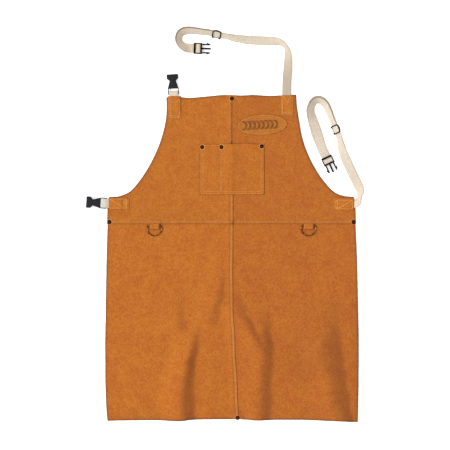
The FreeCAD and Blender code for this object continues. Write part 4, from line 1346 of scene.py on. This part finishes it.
def make_short_strap(name, x, y, turn, material, node):
    """Doubled webbing from inside a tab to the loop round a socket's bar."""
    spot = Spot(x, y, turn)
    bar = 0.00475
    low = HIDE + SKIN + WEB / 2
    high = low + WEB + SKIN
    radius = 0.0015 + 0.0003 + WEB / 2
    points = spot.line((-0.035, low), (-0.018, low), (-0.006, low), (0.0005, bar - radius),
                       (0.0040, bar - radius))
    points += spot.arc(0.0054, bar, radius, -90, 90, 12)
    points += spot.line((0.0010, bar + radius - 0.0001), (-0.0030, bar + radius - 0.0010),
                        (-0.0070, high + 0.0002), (-0.018, high), (-0.035, high))
    frames = strip_frames(catmull(points, 0.001), spot.side * -1)
    piece = sweep(name, [frames], material, WEB_WIDTH / 2, WEB / 2)
    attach(piece, "apron")
    declare_strip(node)


# ------------------------------------------------------------------ moulded buckles

TINES = (-0.0116, 0.0, 0.0116)  # the arms and the guide, across the plug
TINES_START = 0.0236  # along the plug
STOUTER = 0.38
SHARP = math.radians(28)  # edges with a larger angle are eased


def fill_out_tines(vertices, plug):
    """Makes a plug's guide and arms as stout as they are moulded; the rest stays."""
    spot = Spot(*plug)
    for vertex in vertices:
        offset = vertex.co - spot.origin
        if offset.dot(spot.way) > TINES_START:
            across = offset.dot(spot.side)
            tine = min(TINES, key=lambda t: abs(across - t))
            vertex.co += spot.side * ((across - tine) * STOUTER)


def soften(node, radius, body, material, plug=None):
    """The CAD piece with eased edges, as a moulding has."""
    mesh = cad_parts[node].data.copy()
    mesh.name = node + "_moulded"
    mesh.materials.clear()
    mesh.materials.append(material)
    work = bmesh.new()
    work.from_mesh(mesh)
    bmesh.ops.remove_doubles(work, verts=work.verts, dist=0.000004)
    bmesh.ops.dissolve_limit(work, angle_limit=math.radians(2.5), verts=work.verts,
                             edges=work.edges)
    if plug:
        fill_out_tines(work.verts, plug)
    sharp = [e for e in work.edges if len(e.link_faces) == 2 and e.calc_face_angle(0) > SHARP]
    bmesh.ops.bevel(work, geom=sharp, offset=radius, offset_type="OFFSET", segments=2,
                    profile=0.6, affect="EDGES", clamp_overlap=True)
    bmesh.ops.triangulate(work, faces=[f for f in work.faces if len(f.verts) > 4])
    work.to_mesh(mesh)
    work.free()
    mesh.shade_smooth()
    mesh.set_sharp_from_angle(angle=math.radians(40))
    piece = bpy.data.objects.new(node + "_moulded", mesh)
    bpy.context.scene.collection.objects.link(piece)
    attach(piece, body)
    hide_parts(node)


def make_buckles():
    for part, plug in (("neck", NECK_PLUG), ("waist", WAIST_PLUG)):
        soften(part + "_buckle_socket", 0.0006, part + "_socket", socket_plastic)
        soften(part + "_buckle_plug", 0.0005, part + "_plug", plug_plastic, plug)
        soften(part + "_plug_arm_left", 0.0004, part + "_arm_left", plug_plastic, plug)
        soften(part + "_plug_arm_right", 0.0004, part + "_arm_right", plug_plastic, plug)
        soften(part + "_slider", 0.0004, part + "_adjuster", plug_plastic)


# ------------------------------------------------------------------ floor, light and camera

def make_stage():
    shader = Shader("studio_floor", (0.90, 0.90, 0.90), 0.9, Specular_IOR_Level=0.1,
                    Emission_Color=(1.0, 1.0, 1.0, 1.0), Emission_Strength=0.34)
    tone = shader.clouds(1.5, 2.0)
    shader.finish(Base_Color=shader.blend(tone, (0.905, 0.905, 0.905), (0.895, 0.895, 0.9)))
    size = 12.0
    corners = [(-size, -size, 0), (size, -size, 0), (size, size, 0), (-size, size, 0)]
    floor = add_object("floor", corners, [(0, 1, 2, 3)], shader.material, False)
    floor.location.z = -0.0006
    world = bpy.data.worlds.new("studio")
    world.use_nodes = True
    background = world.node_tree.nodes["Background"]
    background.inputs["Color"].default_value = (1.0, 1.0, 1.0, 1.0)
    background.inputs["Strength"].default_value = 1.0
    bpy.context.scene.world = world
    light = bpy.data.lights.new("soft_key", "SUN")
    light.energy = 2.3
    light.angle = math.radians(28)
    key = bpy.data.objects.new("soft_key", light)
    key.rotation_euler = Vector((-0.86, -0.03, 0.74)).to_track_quat("Z", "Y").to_euler()
    bpy.context.scene.collection.objects.link(key)
    bpy.context.scene.view_settings.view_transform = "Standard"


EYE = (-0.0183, -0.0085, 4.2)
SEEN = 1.269  # width of floor in the picture
SENSOR = 36.0  # mm


def make_camera():
    camera = bpy.data.cameras.new("camera")
    camera.sensor_width = SENSOR
    camera.lens = SENSOR * EYE[2] / SEEN
    camera.clip_end = 50.0
    eye = bpy.data.objects.new("camera", camera)
    eye.location = EYE
    bpy.context.scene.collection.objects.link(eye)
    bpy.context.scene.camera = eye


make_camera()
make_stage()
make_panels()
make_pocket()
make_badge()
make_tabs()
make_seam_stitches()
make_pocket_stitches()
make_badge_stitches()
make_tab_stitches("stitches_neck_tabs", TABS[:2], 0.00060, pale_thread, 50)
make_tab_stitches("stitches_waist_tabs", TABS[2:], 0.00078, gold_thread, 52)
make_rivets()
make_ring_loops()
dress_rings()
make_long_strap("strap_neck", NECK_ROUTE, (-41.75, 526.95), neck_cotton,
                ("neck_strap_root", "neck_strap", "neck_strap_loop"), 0.0016, neck_painted_shade, neck_edge_shade)
make_long_strap("strap_waist", WAIST_ROUTE, (293.5, 260.3), waist_cotton,
                ("waist_strap_root", "waist_strap", "waist_strap_loop"), 0.0050, nowhere,
                waist_edge_shade)
make_plug_web("plug_web_neck", NECK_PLUG, neck_cotton,
              "neck_plug_webbing")
make_plug_web("plug_web_waist", WAIST_PLUG, waist_cotton,
              "waist_plug_webbing")
make_short_strap("short_strap_neck", -0.163, 0.3604, 94.0, waist_cotton, "neck_short_strap")
make_short_strap("short_strap_waist", -0.3534, 0.0525, 176.0, waist_cotton, "waist_short_strap")
make_buckles()
